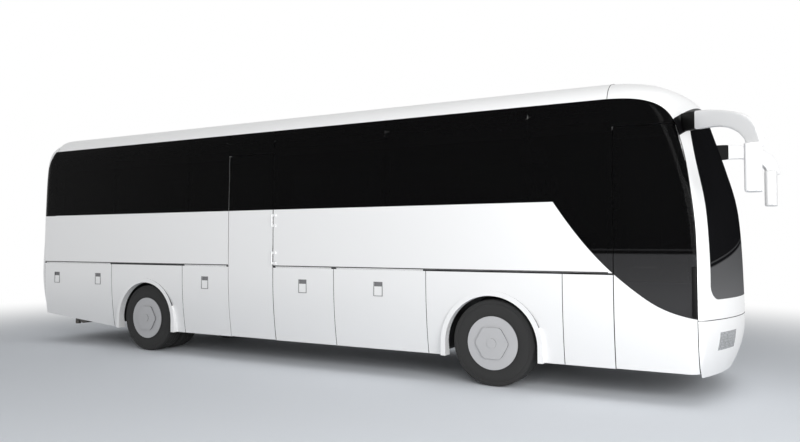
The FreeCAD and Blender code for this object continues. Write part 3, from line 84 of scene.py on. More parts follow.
Object = bpy.types.Object
Mesh = bpy.types.Mesh
Material = bpy.types.Material
Point = tuple[float, float, float]
Colour = tuple[float, float, float]
SIDES = {"right": -1.0, "left": 1.0}
SHARP = math.radians(28.0)


# Shader maths
class Signal:
    """One output socket of a shader tree, with the operators of arithmetic."""

    def __init__(self, shader: "Nodes", socket: bpy.types.NodeSocket | None) -> None:
        """Keeps the socket and the tree that it belongs to."""
        self.shader = shader
        self.socket = socket

    def _math(self, operation: str, *others: "Signal | float", clamp: bool = False) -> "Signal":
        """Adds one Math node.

        Args:
            operation: the node's operation.
            others: its further values or signals.
            clamp: whether the result stays between 0 and 1.

        Returns:
            The node's output.
        """
        settings = {"operation": operation, "use_clamp": clamp}
        return self.shader.node("ShaderNodeMath", settings, dict(enumerate([self, *others])))

    def __add__(self, other: "Signal | float") -> "Signal":
        """This signal plus other."""
        return self._math("ADD", other)

    def __sub__(self, other: "Signal | float") -> "Signal":
        """This signal minus other."""
        return self._math("SUBTRACT", other)

    def __rsub__(self, other: float) -> "Signal":
        """other minus this signal."""
        return (self * -1.0) + other

    def __mul__(self, other: "Signal | float") -> "Signal":
        """This signal times other."""
        return self._math("MULTIPLY", other)

    def __abs__(self) -> "Signal":
        """This signal without its sign."""
        return self._math("ABSOLUTE")

    def sine(self) -> "Signal":
        """The sine of this signal, in radians."""
        return self._math("SINE")

    def between(self, low: float, high: float) -> "Signal":
        """This signal spread so that low gives 0 and high gives 1, smoothly.

        Args:
            low: the value that gives 0.
            high: the value that gives 1.

        Returns:
            The spread signal.
        """
        settings = {"interpolation_type": "SMOOTHSTEP"}
        values = {"Value": self, "From Min": low, "From Max": high, "To Min": 0.0, "To Max": 1.0}
        return self.shader.node("ShaderNodeMapRange", settings, values)


class Nodes:
    """A shader tree whose nodes are added by expressions."""

    def __init__(self, tree: bpy.types.NodeTree) -> None:
        """Keeps the tree, emptied."""
        self.tree = tree
        self.tree.nodes.clear()

    def node(self, kind: str, settings: dict, values: dict, output: int | str = 0) -> Signal:
        """Adds any node: its settings first, then its sockets' values or links.

        Args:
            kind: the node's type.
            settings: attributes of the node.
            values: values or signals by socket index or name.
            output: which output to return.

        Returns:
            The chosen output.
        """
        node = self.tree.nodes.new(kind)
        for key, value in settings.items():
            setattr(node, key, value)
        for key, value in values.items():
            if isinstance(value, Signal):
                self.tree.links.new(value.socket, node.inputs[key])
            else:
                node.inputs[key].default_value = value
        return Signal(self, node.outputs[output] if node.outputs else None)

    def mixed(self, factor: Signal, a: Signal, b: Signal) -> Signal:
        """Surface a, turning to b as factor goes to 1."""
        return self.node("ShaderNodeMixShader", {}, {0: factor, 1: a, 2: b})

    def seen_directly(self) -> Signal:
        """1 for camera, glossy and transmission rays, and 0 for the light that falls on things."""
        path = [self.node("ShaderNodeLightPath", {}, {}, f"Is {kind} Ray")
                for kind in ("Camera", "Glossy", "Transmission")]
        return (path[0] + path[1] + path[2])._math("MINIMUM", 1.0)


class Shader(Nodes):
    """A material's node tree with one Principled BSDF, built by expressions."""

    def __init__(self, name: str) -> None:
        """Makes the material, its Principled BSDF and its output.

        Args:
            name: the material's name.
        """
        self.material = bpy.data.materials.new(name)
        self.material.use_nodes = True
        super().__init__(self.material.node_tree)
        self.surface = self.tree.nodes.new("ShaderNodeBsdfPrincipled")
        self.exit = self.tree.nodes.new("ShaderNodeOutputMaterial")
        self.tree.links.new(self.surface.outputs[0], self.exit.inputs["Surface"])

    def place(self) -> Signal:
        """The point in the object's own metres."""
        return self.node("ShaderNodeTexCoord", {}, {}, "Object")

    def axis(self, index: int) -> Signal:
        """One coordinate of the point, in metres.

        Args:
            index: 0 for X, 1 for Y and 2 for Z.

        Returns:
            The coordinate.
        """
        return self.node("ShaderNodeSeparateXYZ", {}, {0: self.place()}, index)

    def stretched(self, scale: Point) -> Signal:
        """The point with each coordinate multiplied.

        Args:
            scale: a factor for each axis.

        Returns:
            The stretched point.
        """
        return self.node("ShaderNodeMapping", {}, {"Vector": self.place(), "Scale": scale})

    def noise(self, size: float, detail: float = 3.0, where: Signal | None = None) -> Signal:
        """Soft random variation.

        Args:
            size: metres from one patch to the next.
            detail: how many finer layers it has.
            where: the point to read it at, if not the object's own.

        Returns:
            A value around one half.
        """
        values = {"Vector": where or self.place(), "Scale": 1.0 / size, "Detail": detail}
        return self.node("ShaderNodeTexNoise", {}, values)

    def mix(self, factor: Signal | float, a: "Signal | Colour", b: "Signal | Colour") -> Signal:
        """Colour a, turning to b as factor goes to 1.

        Args:
            factor: the share of b.
            a: the first colour.
            b: the second colour.

        Returns:
            The mixed colour.
        """
        def full(c: "Signal | Colour") -> object:
            """The colour with its alpha, or the signal as it is."""
            return c if isinstance(c, Signal) else (*c, 1.0)

        values = {0: factor, 6: full(a), 7: full(b)}
        return self.node("ShaderNodeMix", {"data_type": "RGBA"}, values, 2)

    def relief(self, height: Signal, distance: float, strength: float = 1.0) -> Signal:
        """A bumped normal.

        Args:
            height: the height, from 0 to 1.
            distance: metres that a height of 1 stands up.
            strength: the bump's strength.

        Returns:
            The normal.
        """
        values = {"Strength": strength, "Distance": distance, "Height": height}
        return self.node("ShaderNodeBump", {}, values)

    def set(self, **values: "Signal | float | Colour") -> None:
        """Sets or links sockets of the Principled BSDF, named with underscores for spaces.

        Args:
            values: the sockets and what goes in them.
        """
        for key, value in values.items():
            socket = self.surface.inputs[key.replace("_", " ")]
            if isinstance(value, Signal):
                self.tree.links.new(value.socket, socket)
            else:
                socket.default_value = (*value, 1.0) if isinstance(value, tuple) else value


# Finishes
@dataclass(frozen=True)
class Finish:
    """A plain finish whose colour drifts a little and whose surface has a fine grain."""

    name: str
    colour: Colour
    slot: str
    roughness: float = 0.5
    metallic: float = 0.0
    drift: float = 0.12
    grain: float = 0.004
    relief: float = 0.0002
    coat: float = 0.0
    gloss: float = 0.5

    def shade(self, shader: Shader) -> None:
        """Fills the shader's sockets.

        Args:
            shader: the material to fill.
        """
        dark = tuple(c * (1.0 - self.drift) for c in self.colour)
        patches = shader.noise(0.35, 4.0)
        fine = shader.noise(self.grain, 2.0)
        shader.set(Base_Color=shader.mix(patches, self.colour, dark),
                   Roughness=fine * 0.12 + (patches * 0.1 + (self.roughness - 0.11)),
                   Metallic=self.metallic, Coat_Weight=self.coat, Specular_IOR_Level=self.gloss,
                   Normal=shader.relief(fine, self.relief, 0.6))

    def build(self) -> Material:
        """The finished material, made once."""
        found = bpy.data.materials.get(self.name)
        if found:
            return found
        shader = Shader(self.name)
        self.shade(shader)
        return shader.material


@dataclass(frozen=True)
class CoachPaint(Finish):
    """White body paint: an even coat with a faint orange peel, turning darker, rougher and streaked towards
    the bottom near the sill.
    """

    low_tint: Colour = (0.70, 0.69, 0.67)
    low_tint_bottom: float = 0.25
    low_tint_top: float = 0.75
    peel: float = 0.006

    def shade(self, shader: Shader) -> None:
        """Fills the shader's sockets.

        Args:
            shader: the material to fill.
        """
        height = shader.axis(2)
        streaks = shader.noise(0.5, 5.0, shader.stretched((0.6, 0.6, 2.2)))
        # Darker, rougher and streaked towards the bottom: full below the lower height, gone above the upper
        # one.
        low_tint = (1.0 - height.between(self.low_tint_bottom, self.low_tint_top)) * (streaks * 0.35 + 0.1)
        tone = shader.noise(1.6, 2.0)
        dark = tuple(c * 0.985 for c in self.colour)
        shader.set(Base_Color=shader.mix(low_tint, shader.mix(tone, self.colour, dark), self.low_tint),
                   Roughness=low_tint * 0.4 + (tone * 0.06 + self.roughness), Coat_Weight=self.coat,
                   Coat_Roughness=0.08, Normal=shader.relief(shader.noise(self.peel, 1.0), 0.00004, 0.5))


@dataclass(frozen=True)
class TintedGlass(Finish):
    """Dark tinted glass: nearly opaque, with faint smears, and lighter below a curved edge, where the lit
    cabin behind it is painted in as light, with a thin painted light line above that edge.
    """

    alpha: float = 0.9
    mirror: float = 0.22
    foot: float = 1.6
    foot_fall: float = 0.0
    painted_cabin_light: Colour = (0.03, 0.03, 0.031)
    foot_fade: float = 0.012
    line_rise: float = 0.045
    line_half: float = 0.006

    def shade(self, shader: Shader) -> None:
        """Fills the shader's sockets.

        Args:
            shader: the material to fill.
        """
        smears = shader.noise(0.7, 5.0, shader.stretched((1.0, 1.0, 0.4)))
        # Painted light: below a curved edge the glass turns lighter, and lighter still further down,
        # standing in for the lit cabin seen through it; a thin line of the same painted light runs just
        # above that edge.
        height = shader.axis(2) + abs(shader.axis(1)) * self.foot_fall
        below = height.between(self.foot + self.foot_fade, self.foot - self.foot_fade)
        rise = abs(height - (self.foot + self.line_rise))
        line = rise.between(self.line_half * 2.0, self.line_half) * 0.35
        deep = shader.mix(smears, self.colour, tuple(c * 1.6 for c in self.colour))
        foot = shader.mix(height.between(self.foot, self.foot - 0.6), self.painted_cabin_light,
                          tuple(c * 1.5 for c in self.painted_cabin_light))
        shader.set(Base_Color=shader.mix(below, shader.mix(line, deep, self.painted_cabin_light), foot),
                   Roughness=smears.between(0.45, 0.75) * 0.07 + self.roughness, Alpha=self.alpha,
                   Specular_IOR_Level=self.mirror,
                   Normal=shader.relief(shader.noise(0.9, 1.0), 0.0008, 0.2))


@dataclass(frozen=True)
class TyreRubber(Finish):
    """Black rubber with a fine grain and patches of road dust."""

    dust: Colour = (0.016, 0.0155, 0.015)

    def shade(self, shader: Shader) -> None:
        """Fills the shader's sockets.

        Args:
            shader: the material to fill.
        """
        dust = shader.noise(0.09, 5.0)
        fine = shader.noise(0.003, 2.0)
        shader.set(Base_Color=shader.mix(dust.between(0.42, 0.72), self.colour, self.dust),
                   Roughness=fine * 0.15 + self.roughness, Specular_IOR_Level=self.gloss,
                   Normal=shader.relief(fine, 0.0003, 0.7))


@dataclass(frozen=True)
class SeatCloth(Finish):
    """Woven seat cloth: crossed threads with small flecks and a soft sheen."""

    thread: float = 0.0018
    fleck: Colour = (0.2, 0.23, 0.3)

    def shade(self, shader: Shader) -> None:
        """Fills the shader's sockets.

        Args:
            shader: the material to fill.
        """
        turn = 2.0 * math.pi / self.thread
        weave = (shader.axis(1) * turn).sine() * ((shader.axis(0) + shader.axis(2)) * turn).sine()
        flecks = shader.noise(0.02, 3.0).between(0.56, 0.66)
        worn = shader.noise(0.25, 2.0)
        base = shader.mix(worn, self.colour, tuple(c * 0.7 for c in self.colour))
        shader.set(Base_Color=shader.mix(flecks * 0.5, base, self.fleck), Roughness=worn * 0.1 + 0.8,
                   Sheen_Weight=0.35, Sheen_Roughness=0.4,
                   Normal=shader.relief(weave * 0.5 + 0.5, 0.0005, 0.7))


@dataclass(frozen=True)
class FloorCovering(Finish):
    """Ribbed floor covering: shallow ribs along the coach with grit between them."""

    rib: float = 0.02

    def shade(self, shader: Shader) -> None:
        """Fills the shader's sockets.

        Args:
            shader: the material to fill.
        """
        ribs = (shader.axis(1) * (2.0 * math.pi / self.rib)).sine().between(-0.4, 0.4)
        grit = shader.noise(0.004, 3.0)
        trodden = shader.noise(0.5, 4.0)
        shader.set(Base_Color=shader.mix(trodden, self.colour, tuple(c * 1.5 for c in self.colour)),
                   Roughness=grit * 0.2 + self.roughness,
                   Normal=shader.relief(ribs + grit * 0.3, 0.0012, 0.8))


@dataclass(frozen=True)
class RoadSteel(Finish):
    """Chassis steel: black paint with patches of dust and rust where it is worn."""

    rust: Colour = (0.11, 0.05, 0.025)
    dust: Colour = (0.16, 0.15, 0.135)

    def shade(self, shader: Shader) -> None:
        """Fills the shader's sockets.

        Args:
            shader: the material to fill.
        """
        worn = shader.noise(0.12, 6.0).between(0.6, 0.68)
        dusty = shader.noise(0.4, 4.0).between(0.4, 0.8)
        base = shader.mix(dusty * 0.6, self.colour, self.dust)
        shader.set(Base_Color=shader.mix(worn, base, self.rust), Metallic=self.metallic,
                   Roughness=worn * 0.3 + (dusty * 0.2 + 0.45),
                   Normal=shader.relief(shader.noise(0.008, 4.0), 0.0006, 0.5))


@dataclass(frozen=True)
class LampLens(Finish):
    """A moulded lens: a mosaic of small facets, darker in the joints between them."""

    facet: float = 0.03
    alpha: float = 1.0
    depth: float = 0.004

    def shade(self, shader: Shader) -> None:
        """Fills the shader's sockets.

        Args:
            shader: the material to fill.
        """
        settings = {"feature": "DISTANCE_TO_EDGE"}
        values = {"Vector": shader.place(), "Scale": 1.0 / self.facet, "Randomness": 0.6}
        joint = shader.node("ShaderNodeTexVoronoi", settings, values, "Distance").between(0.0, 0.2)
        haze = shader.noise(0.02, 3.0)
        dark = shader.mix(haze, tuple(c * 0.35 for c in self.colour), tuple(c * 0.7 for c in self.colour))
        shader.set(Base_Color=shader.mix(joint * 0.8 + haze * 0.2, dark, self.colour),
                   Roughness=haze * 0.08 + self.roughness, Alpha=self.alpha, Coat_Weight=0.3,
                   Normal=shader.relief(joint, self.depth, 0.5))


class Finishes:
    """Every finish of the coach, by name."""

    paint = CoachPaint("white_paint", (0.86, 0.86, 0.86), "white_paint", roughness=0.32, coat=0.25)
    ceramic = Finish("black_band", (0.003, 0.003, 0.003), "black_strip", drift=0.3, gloss=0.15)
    gasket = Finish("rubber_gasket", (0.012, 0.012, 0.012), "black_plastic", roughness=0.7, drift=0.3)
    trim = Finish("cabin_trim", (0.035, 0.035, 0.038), "black_plastic", roughness=0.7, drift=0.25)
    # The side panes carry painted light of the lit cabin below their foot height.
    side_glass = TintedGlass("side_glass", (0.0012, 0.0012, 0.0013), "dark_glass", roughness=0.02,
                             mirror=0.035)
    # The windscreen's lower zone is painted light of the lit dashboard seen through it.
    screen_glass = TintedGlass("screen_glass", (0.005, 0.005, 0.0055), "dark_glass", roughness=0.02,
                               alpha=0.95, mirror=0.0, foot=1.72, foot_fall=0.24,
                               painted_cabin_light=(0.09, 0.09, 0.092))
    strip = Finish("gloss_black", (0.004, 0.004, 0.0045), "black_strip", roughness=0.4, drift=0.3,
                   gloss=0.15)
    rubber = TyreRubber("tyre_rubber", (0.007, 0.007, 0.0075), "tyre_rubber", roughness=0.6, gloss=0.2)
    cover = Finish("cover_grey", (0.46, 0.46, 0.47), "wheel_grey", roughness=0.4, drift=0.06, coat=0.1)
    rim = Finish("rim_grey", (0.16, 0.16, 0.165), "wheel_grey", roughness=0.45, metallic=0.4, drift=0.2)
    steel = RoadSteel("chassis_steel", (0.028, 0.028, 0.03), "frame_steel", metallic=0.2)
    iron = RoadSteel("engine_iron", (0.1, 0.1, 0.1), "engine_iron", metallic=0.6)
    pipe = RoadSteel("pipe_steel", (0.12, 0.115, 0.11), "exhaust_steel", metallic=0.8)
    plastic = Finish("black_moulding", (0.018, 0.018, 0.019), "black_plastic", drift=0.25)
    soft_grey = Finish("soft_grey_moulding", (0.09, 0.09, 0.095), "black_plastic", roughness=0.6,
                       drift=0.15)
    floor = FloorCovering("floor_covering", (0.05, 0.05, 0.055), "grey_floor", roughness=0.7)
    cloth = SeatCloth("seat_cloth", (0.035, 0.04, 0.055), "seat_cloth")
    arm = Finish("grey_arm", (0.22, 0.22, 0.23), "arm_steel", roughness=0.4, metallic=0.3)
    clear = LampLens("clear_lens", (0.42, 0.43, 0.44), "clear_lamp", roughness=0.15, alpha=0.95)
    red = LampLens("red_lens", (0.45, 0.012, 0.008), "red_lamp", roughness=0.15, facet=0.012, depth=0.002)
    amber = LampLens("amber_lens", (0.75, 0.22, 0.01), "red_lamp", roughness=0.15, facet=0.012, depth=0.002)
    # Painted shade: the grey of the handles' shaded pocket backs and of the shade lines round the handles.
    handle_shade = Finish("handle_recess", (0.22, 0.22, 0.225), "black_plastic", roughness=0.6, drift=0.3)
    # Painted shade: the darker grey of the wheel covers' sideways-facing step faces.
    step_shade = Finish("cover_step", (0.2, 0.2, 0.205), "wheel_grey", drift=0.1)
    mirror = Finish("mirror_face", (0.38, 0.39, 0.4), "white_paint", roughness=0.2, metallic=0.7,
                    drift=0.04, relief=0.0)


# Mesh tools
def object_of(name: str, mesh: Mesh, finishes: Sequence[Finish],
              smooth: bool = True) -> Object:
    """Links a mesh as an object and gives it its finishes.

    Args:
        name: the object's name.
        mesh: its mesh.
        finishes: the finishes of its slots.
        smooth: whether gentle edges are shaded smooth.

    Returns:
        The object.
    """
    mesh.materials.clear()
    for finish in finishes:
        mesh.materials.append(finish.build())
    if smooth:
        mesh.polygons.foreach_set("use_smooth", [True] * len(mesh.polygons))
        mesh.set_sharp_from_angle(angle=SHARP)
    mesh.update()
    return linked(name, mesh)


def linked(name: str, data: bpy.types.ID) -> Object:
    """Mesh, lamp or camera data as a new object of the scene.

    Args:
        name: the object's name.
        data: its data.

    Returns:
        The object.
    """
    piece = bpy.data.objects.new(name, data)
    bpy.context.scene.collection.objects.link(piece)
    return piece


def evaluated_mesh(piece: Object) -> Mesh:
    """The object's mesh with its modifiers applied; the object goes.

    Args:
        piece: the object.

    Returns:
        The new mesh.
    """
    mesh = bpy.data.meshes.new_from_object(piece.evaluated_get(bpy.context.evaluated_depsgraph_get()))
    bpy.data.objects.remove(piece)
    return mesh


def remeshed(piece: Object, voxel: float) -> Object:
    """The object with a voxel remesh on it.

    Args:
        piece: the object.
        voxel: the voxels' size.

    Returns:
        The same object.
    """
    remesh = piece.modifiers.new("remesh", "REMESH")
    remesh.mode = "VOXEL"
    remesh.voxel_size = voxel
    return piece


def settle(piece: Object, body: str, replaced: Sequence[str] = ()) -> Object:
    """Puts a finished piece on its body, in place of the CAD nodes that it stands for.

    Args:
        piece: the piece.
        body: the body it rides on.
        replaced: the CAD nodes that it stands for.

    Returns:
        The piece.
    """
    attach(piece, body)
    if replaced:
        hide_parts(*replaced)
    return piece


def merged_copy(node: str) -> Mesh:
    """A copy of a CAD node's mesh with its doubled points merged.

    Args:
        node: the node's name.

    Returns:
        The copy.
    """
    mesh = frame["nodes"][node].data.copy()
    work = bmesh.new()
    work.from_mesh(mesh)
    bmesh.ops.remove_doubles(work, verts=work.verts, dist=0.00002)
    work.to_mesh(mesh)
    work.free()
    if mesh.has_custom_normals:
        mesh.attributes.remove(mesh.attributes["custom_normal"])
    return mesh


def body_of(node: str) -> str:
    """The name of the body that a CAD node rides on."""
    return frame["nodes"][node]["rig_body"]


def dressed(node: str, suffix: str, mesh: Mesh, finishes: Sequence[Finish],
            kinds: Sequence[int] = ()) -> Object:
    """A mesh made from a CAD node, with its finishes, in the node's place.

    Args:
        node: the node's name.
        suffix: what the piece's name adds to it.
        mesh: the piece's mesh.
        finishes: its finishes.
        kinds: the finish of each face, if not the first.

    Returns:
        The piece.
    """
    piece = object_of(node + suffix, mesh, finishes)
    if kinds:
        mesh.polygons.foreach_set("material_index", kinds)
    return settle(piece, body_of(node), [node])


def tree_of(nodes: Iterable[str]) -> BVHTree:
    """A search tree over the faces of CAD nodes.

    Args:
        nodes: the nodes' names.

    Returns:
        The tree.
    """
    points: list[Vector] = []
    faces: list[list[int]] = []
    for node in nodes:
        mesh = frame["nodes"][node].data
        base = len(points)
        points += [v.co.copy() for v in mesh.vertices]
        faces += [[base + i for i in p.vertices] for p in mesh.polygons]
    return BVHTree.FromPolygons(points, faces)


def rounded_box(name: str, low: Sequence[float], high: Sequence[float], radius: float, finish: Finish,
                segments: int = 3) -> Object:
    """A box with all its edges rounded.

    Args:
        name: the object's name.
        low: its lowest corner.
        high: its highest corner.
        radius: the edges' radius.
        finish: its finish.
        segments: facets along each rounded edge.

    Returns:
        The object.
    """
    work = bmesh.new()
    bmesh.ops.create_cube(work, size=1.0)
    size = Vector(high) - Vector(low)
    middle = (Vector(high) + Vector(low)) / 2.0
    for v in work.verts:
        v.co = Vector((v.co.x * size.x, v.co.y * size.y, v.co.z * size.z)) + middle
    bmesh.ops.bevel(work, geom=list(work.edges), offset=radius, segments=segments, profile=0.5,
                    affect="EDGES")
    mesh = bpy.data.meshes.new(name)
    work.to_mesh(mesh)
    work.free()
    return object_of(name, mesh, [finish])


def plate(name: str, across: tuple[float, float], up: tuple[float, float], depths: tuple[float, float],
          sign: float, radius: float, finish: Finish) -> Object:
    """A thin rounded box on one side of the coach.

    Args:
        name: the object's name.
        across: its ends along X.
        up: its ends along Z.
        depths: its faces, as distances from the middle plane.
        sign: the side's sign along Y.
        radius: its edges' radius.
        finish: its finish.

    Returns:
        The object.
    """
    y0, y1 = sorted(sign * depth for depth in depths)
    return rounded_box(name, (across[0], y0, up[0]), (across[1], y1, up[1]), radius, finish, 2)


def lathe(name: str, profile: Sequence[tuple[float, float]], steps: int, centre: Sequence[float], axis: int,
          finish: Finish) -> Object:
    """A turned shape whose profile is closed.

    Args:
        name: the object's name.
        profile: (place along the axis, radius) pairs.
        steps: facets round the axis.
        centre: a point on the axis.
        axis: 0, 1 or 2 for the axis of turning.
        finish: its finish.

    Returns:
        The object.
    """
    verts = []
    for i in range(steps):
        turn = 2.0 * math.pi * i / steps
        for along, radius in profile:
            ring = [radius * math.cos(turn), radius * math.sin(turn)]
            ring.insert(axis, along)
            verts.append([c + r for c, r in zip(centre, ring)])
    count = len(profile)
    faces = []
    for i in range(steps):
        here, there = i * count, (i + 1) % steps * count
        for j in range(count):
            k = (j + 1) % count
            faces.append((here + j, here + k, there + k, there + j))
    mesh = bpy.data.meshes.new(name)
    mesh.from_pydata(verts, [], faces)
    work = bmesh.new()
    work.from_mesh(mesh)
    bmesh.ops.remove_doubles(work, verts=work.verts, dist=0.00001)
    bmesh.ops.recalc_face_normals(work, faces=work.faces)
    work.to_mesh(mesh)
    work.free()
    return object_of(name, mesh, [finish])


def joined(name: str, parts: Sequence[Object]) -> Object:
    """Several mesh objects as one, with each part's materials kept.

    Args:
        name: the new object's name.
        parts: the objects, which go.

    Returns:
        The one object.
    """
    work = bmesh.new()
    materials: list[Material] = []
    for part in parts:
        mesh = part.data
        index = []
        for material in mesh.materials:
            if material not in materials:
                materials.append(material)
            index.append(materials.index(material))
        start = len(work.faces)
        work.from_mesh(mesh)
        work.faces.ensure_lookup_table()
        for face in work.faces[start:]:
            face.material_index = index[min(face.material_index, len(index) - 1)]
    mesh = bpy.data.meshes.new(name)
    work.to_mesh(mesh)
    work.free()
    for material in materials:
        mesh.materials.append(material)
    for part in parts:
        bpy.data.objects.remove(part)
    mesh.set_sharp_from_angle(angle=SHARP)
    return linked(name, mesh)


@dataclass
class Repeat:
    """Copies of one shape in a row or round an axis, laid out by a Geometry Nodes tree."""

    count: int
    step: Point = (0.0, 0.0, 0.0)
    turn: Point = (0.0, 0.0, 0.0)

    def tree(self) -> bpy.types.NodeTree:
        """The tree: copies on a line, each turned a little further than the last."""
        found = bpy.data.node_groups.get("copies_in_step")
        if found:
            return found
        tree = bpy.data.node_groups.new("copies_in_step", "GeometryNodeTree")
        sockets = (("Shape", "Object"), ("Count", "Int"), ("Step", "Vector"), ("Turn", "Vector"),
                   ("Finish", "Material"))
        for name, kind in sockets:
            tree.interface.new_socket(name, in_out="INPUT", socket_type="NodeSocket" + kind)
        tree.interface.new_socket("Geometry", in_out="OUTPUT", socket_type="NodeSocketGeometry")
        kinds = {"given": "NodeGroupInput", "shape": "GeometryNodeObjectInfo",
                 "line": "GeometryNodeMeshLine", "index": "GeometryNodeInputIndex",
                 "angle": "ShaderNodeVectorMath",
                 "spread": "GeometryNodeInstanceOnPoints", "real": "GeometryNodeRealizeInstances",
                 "dress": "GeometryNodeSetMaterial", "out": "NodeGroupOutput"}
        nodes = {name: tree.nodes.new(kind) for name, kind in kinds.items()}
        nodes["angle"].operation = "SCALE"
        links = (("given", "Shape", "shape", "Object"), ("given", "Count", "line", "Count"),
                 ("given", "Step", "line", "Offset"), ("given", "Turn", "angle", 0),
                 ("index", 0, "angle", "Scale"), ("line", "Mesh", "spread", "Points"),
                 ("shape", "Geometry", "spread", "Instance"), ("angle", 0, "spread", "Rotation"),
                 ("spread", 0, "real", 0), ("real", 0, "dress", "Geometry"),
                 ("given", "Finish", "dress", "Material"), ("dress", 0, "out", 0))
        for source, output, target, entry in links:
            tree.links.new(nodes[source].outputs[output], nodes[target].inputs[entry])
        return tree

    def build(self, name: str, shape: Object, finish: Finish, centre: Sequence[float] = (0, 0, 0),
              ) -> Object:
        """Lays out the copies and turns them into one plain mesh.

        Args:
            name: the new object's name.
            shape: the shape to repeat, modelled about the centre at the origin; it goes.
            finish: the copies' finish.
            centre: where the origin of the pattern goes.

        Returns:
            The object.
        """
        tree = self.tree()
        host = linked(name + "_host", bpy.data.meshes.new(name + "_host"))
        modifier = host.modifiers.new("copies", "NODES")
        modifier.node_group = tree
        given = {"Shape": shape, "Count": self.count, "Step": self.step, "Turn": self.turn,
                 "Finish": finish.build()}
        for item in tree.interface.items_tree:
            if item.in_out == "INPUT":
                modifier[item.identifier] = given[item.name]
        mesh = evaluated_mesh(host)
        mesh.transform(Matrix.Translation(Vector(centre)))
        bpy.data.objects.remove(shape)
        return object_of(name, mesh, [finish])


# Sub-assemblies
@dataclass
class Shell:
    """The painted panels, with black bands behind the glass, rubber in the seams and trim inside."""

    fixed: Sequence[str] = ("front_mask", "front_bumper", "front_dome", "side_wall_right", "side_wall_left",
                            "driver_side_panel", "roof", "rear_cap", "rear_bumper")
    moving: Sequence[str] = ("front_door_leaf", "middle_door_leaf", "engine_lid", "engine_flap_right",
                             "engine_flap_left", "hold_flap_rear_right", "hold_flap_middle_right",
                             "hold_flap_middle_left", "hold_flap_front_right", "hold_flap_front_left",
                             "hold_flap_long_left")
    glass: Sequence[str] = ("windscreen", "side_glass_right", "side_glass_left", "rear_window",
                            "front_door_glass", "middle_door_glass")
    band_reach: float = 0.03
    seam_reach: float = 0.02
    core_height: float = 1.9
    core_margin: float = 1.2
    inward_share: float = 0.25

    def kind_of_face(self, centre: Vector, normal: Vector, glass: BVHTree, solid: BVHTree) -> int:
        """Which finish a face takes.

        Args:
            centre: the face's middle.
            normal: its normal.
            glass: the glass nodes' faces.
            solid: the painted nodes' faces.

        Returns:
            0 for paint, 1 for the black band, 2 for rubber and 3 for cabin trim.
        """
        start = centre + normal * 0.0004
        if glass.ray_cast(start, normal, self.band_reach)[0] is not None:
            return 1
        low, high = CAD_BOX
        core = Vector((min(max(centre.x, low.x + self.core_margin), high.x - self.core_margin * 2.0), 0.0,
                       self.core_height))
        toward = (core - centre).normalized()
        if normal.dot(toward) > self.inward_share:
            return 3
        return 2 if solid.ray_cast(start, normal, self.seam_reach)[0] is not None else 0

    def build(self) -> None:
        """Dresses every painted panel."""
        glass = tree_of(self.glass)
        solid = tree_of([*self.fixed, *self.moving])
        finishes = [Finishes.paint, Finishes.ceramic, Finishes.gasket, Finishes.trim]
        for node in (*self.fixed, *self.moving):
            mesh = merged_copy(node)
            kinds = [self.kind_of_face(p.center, p.normal, glass, solid) for p in mesh.polygons]
            dressed(node, "_panel", mesh, finishes, kinds)


@dataclass
class Glazing:
    """The panes, smoothed from their solids, and the gloss strip over the windscreen."""

    sides: Sequence[str] = ("side_glass_right", "side_glass_left", "rear_window", "front_door_glass",
                            "middle_door_glass")
    screens: Sequence[str] = ("windscreen",)

    def build(self) -> None:
        """Dresses the panes."""
        for nodes, finish in ((self.sides, Finishes.side_glass), (self.screens, Finishes.screen_glass)):
            for node in nodes:
                dressed(node, "_pane", merged_copy(node), [finish])
        dressed("visor_strip", "_panel", merged_copy("visor_strip"), [Finishes.strip])


@dataclass
class PlainNodes:
    """CAD nodes whose shape is right as it is, each with its finish."""

    groups: Sequence[tuple[Finish, Sequence[str]]] = (
        (Finishes.steel, ("underframe", "front_axle", "rear_axle", "knuckle_right", "knuckle_left")),
        (Finishes.iron, ("engine_block",)),
        (Finishes.pipe, ("exhaust",)),
        (Finishes.floor, ("hold_floor", "saloon_floor", "middle_stairs", "front_floor")),
        (Finishes.plastic, ("wheel_arch_liners", "dashboard", "steering_wheel")),
        (Finishes.soft_grey, ("luggage_racks", "bulkheads")),
        (Finishes.arm, ("front_door_arms",)))

    def build(self) -> None:
        """Gives each node its material and leaves its mesh alone."""
        for finish, nodes in self.groups:
            for node in nodes:
                for slot in frame["nodes"][node].material_slots:
                    slot.material = finish.build()


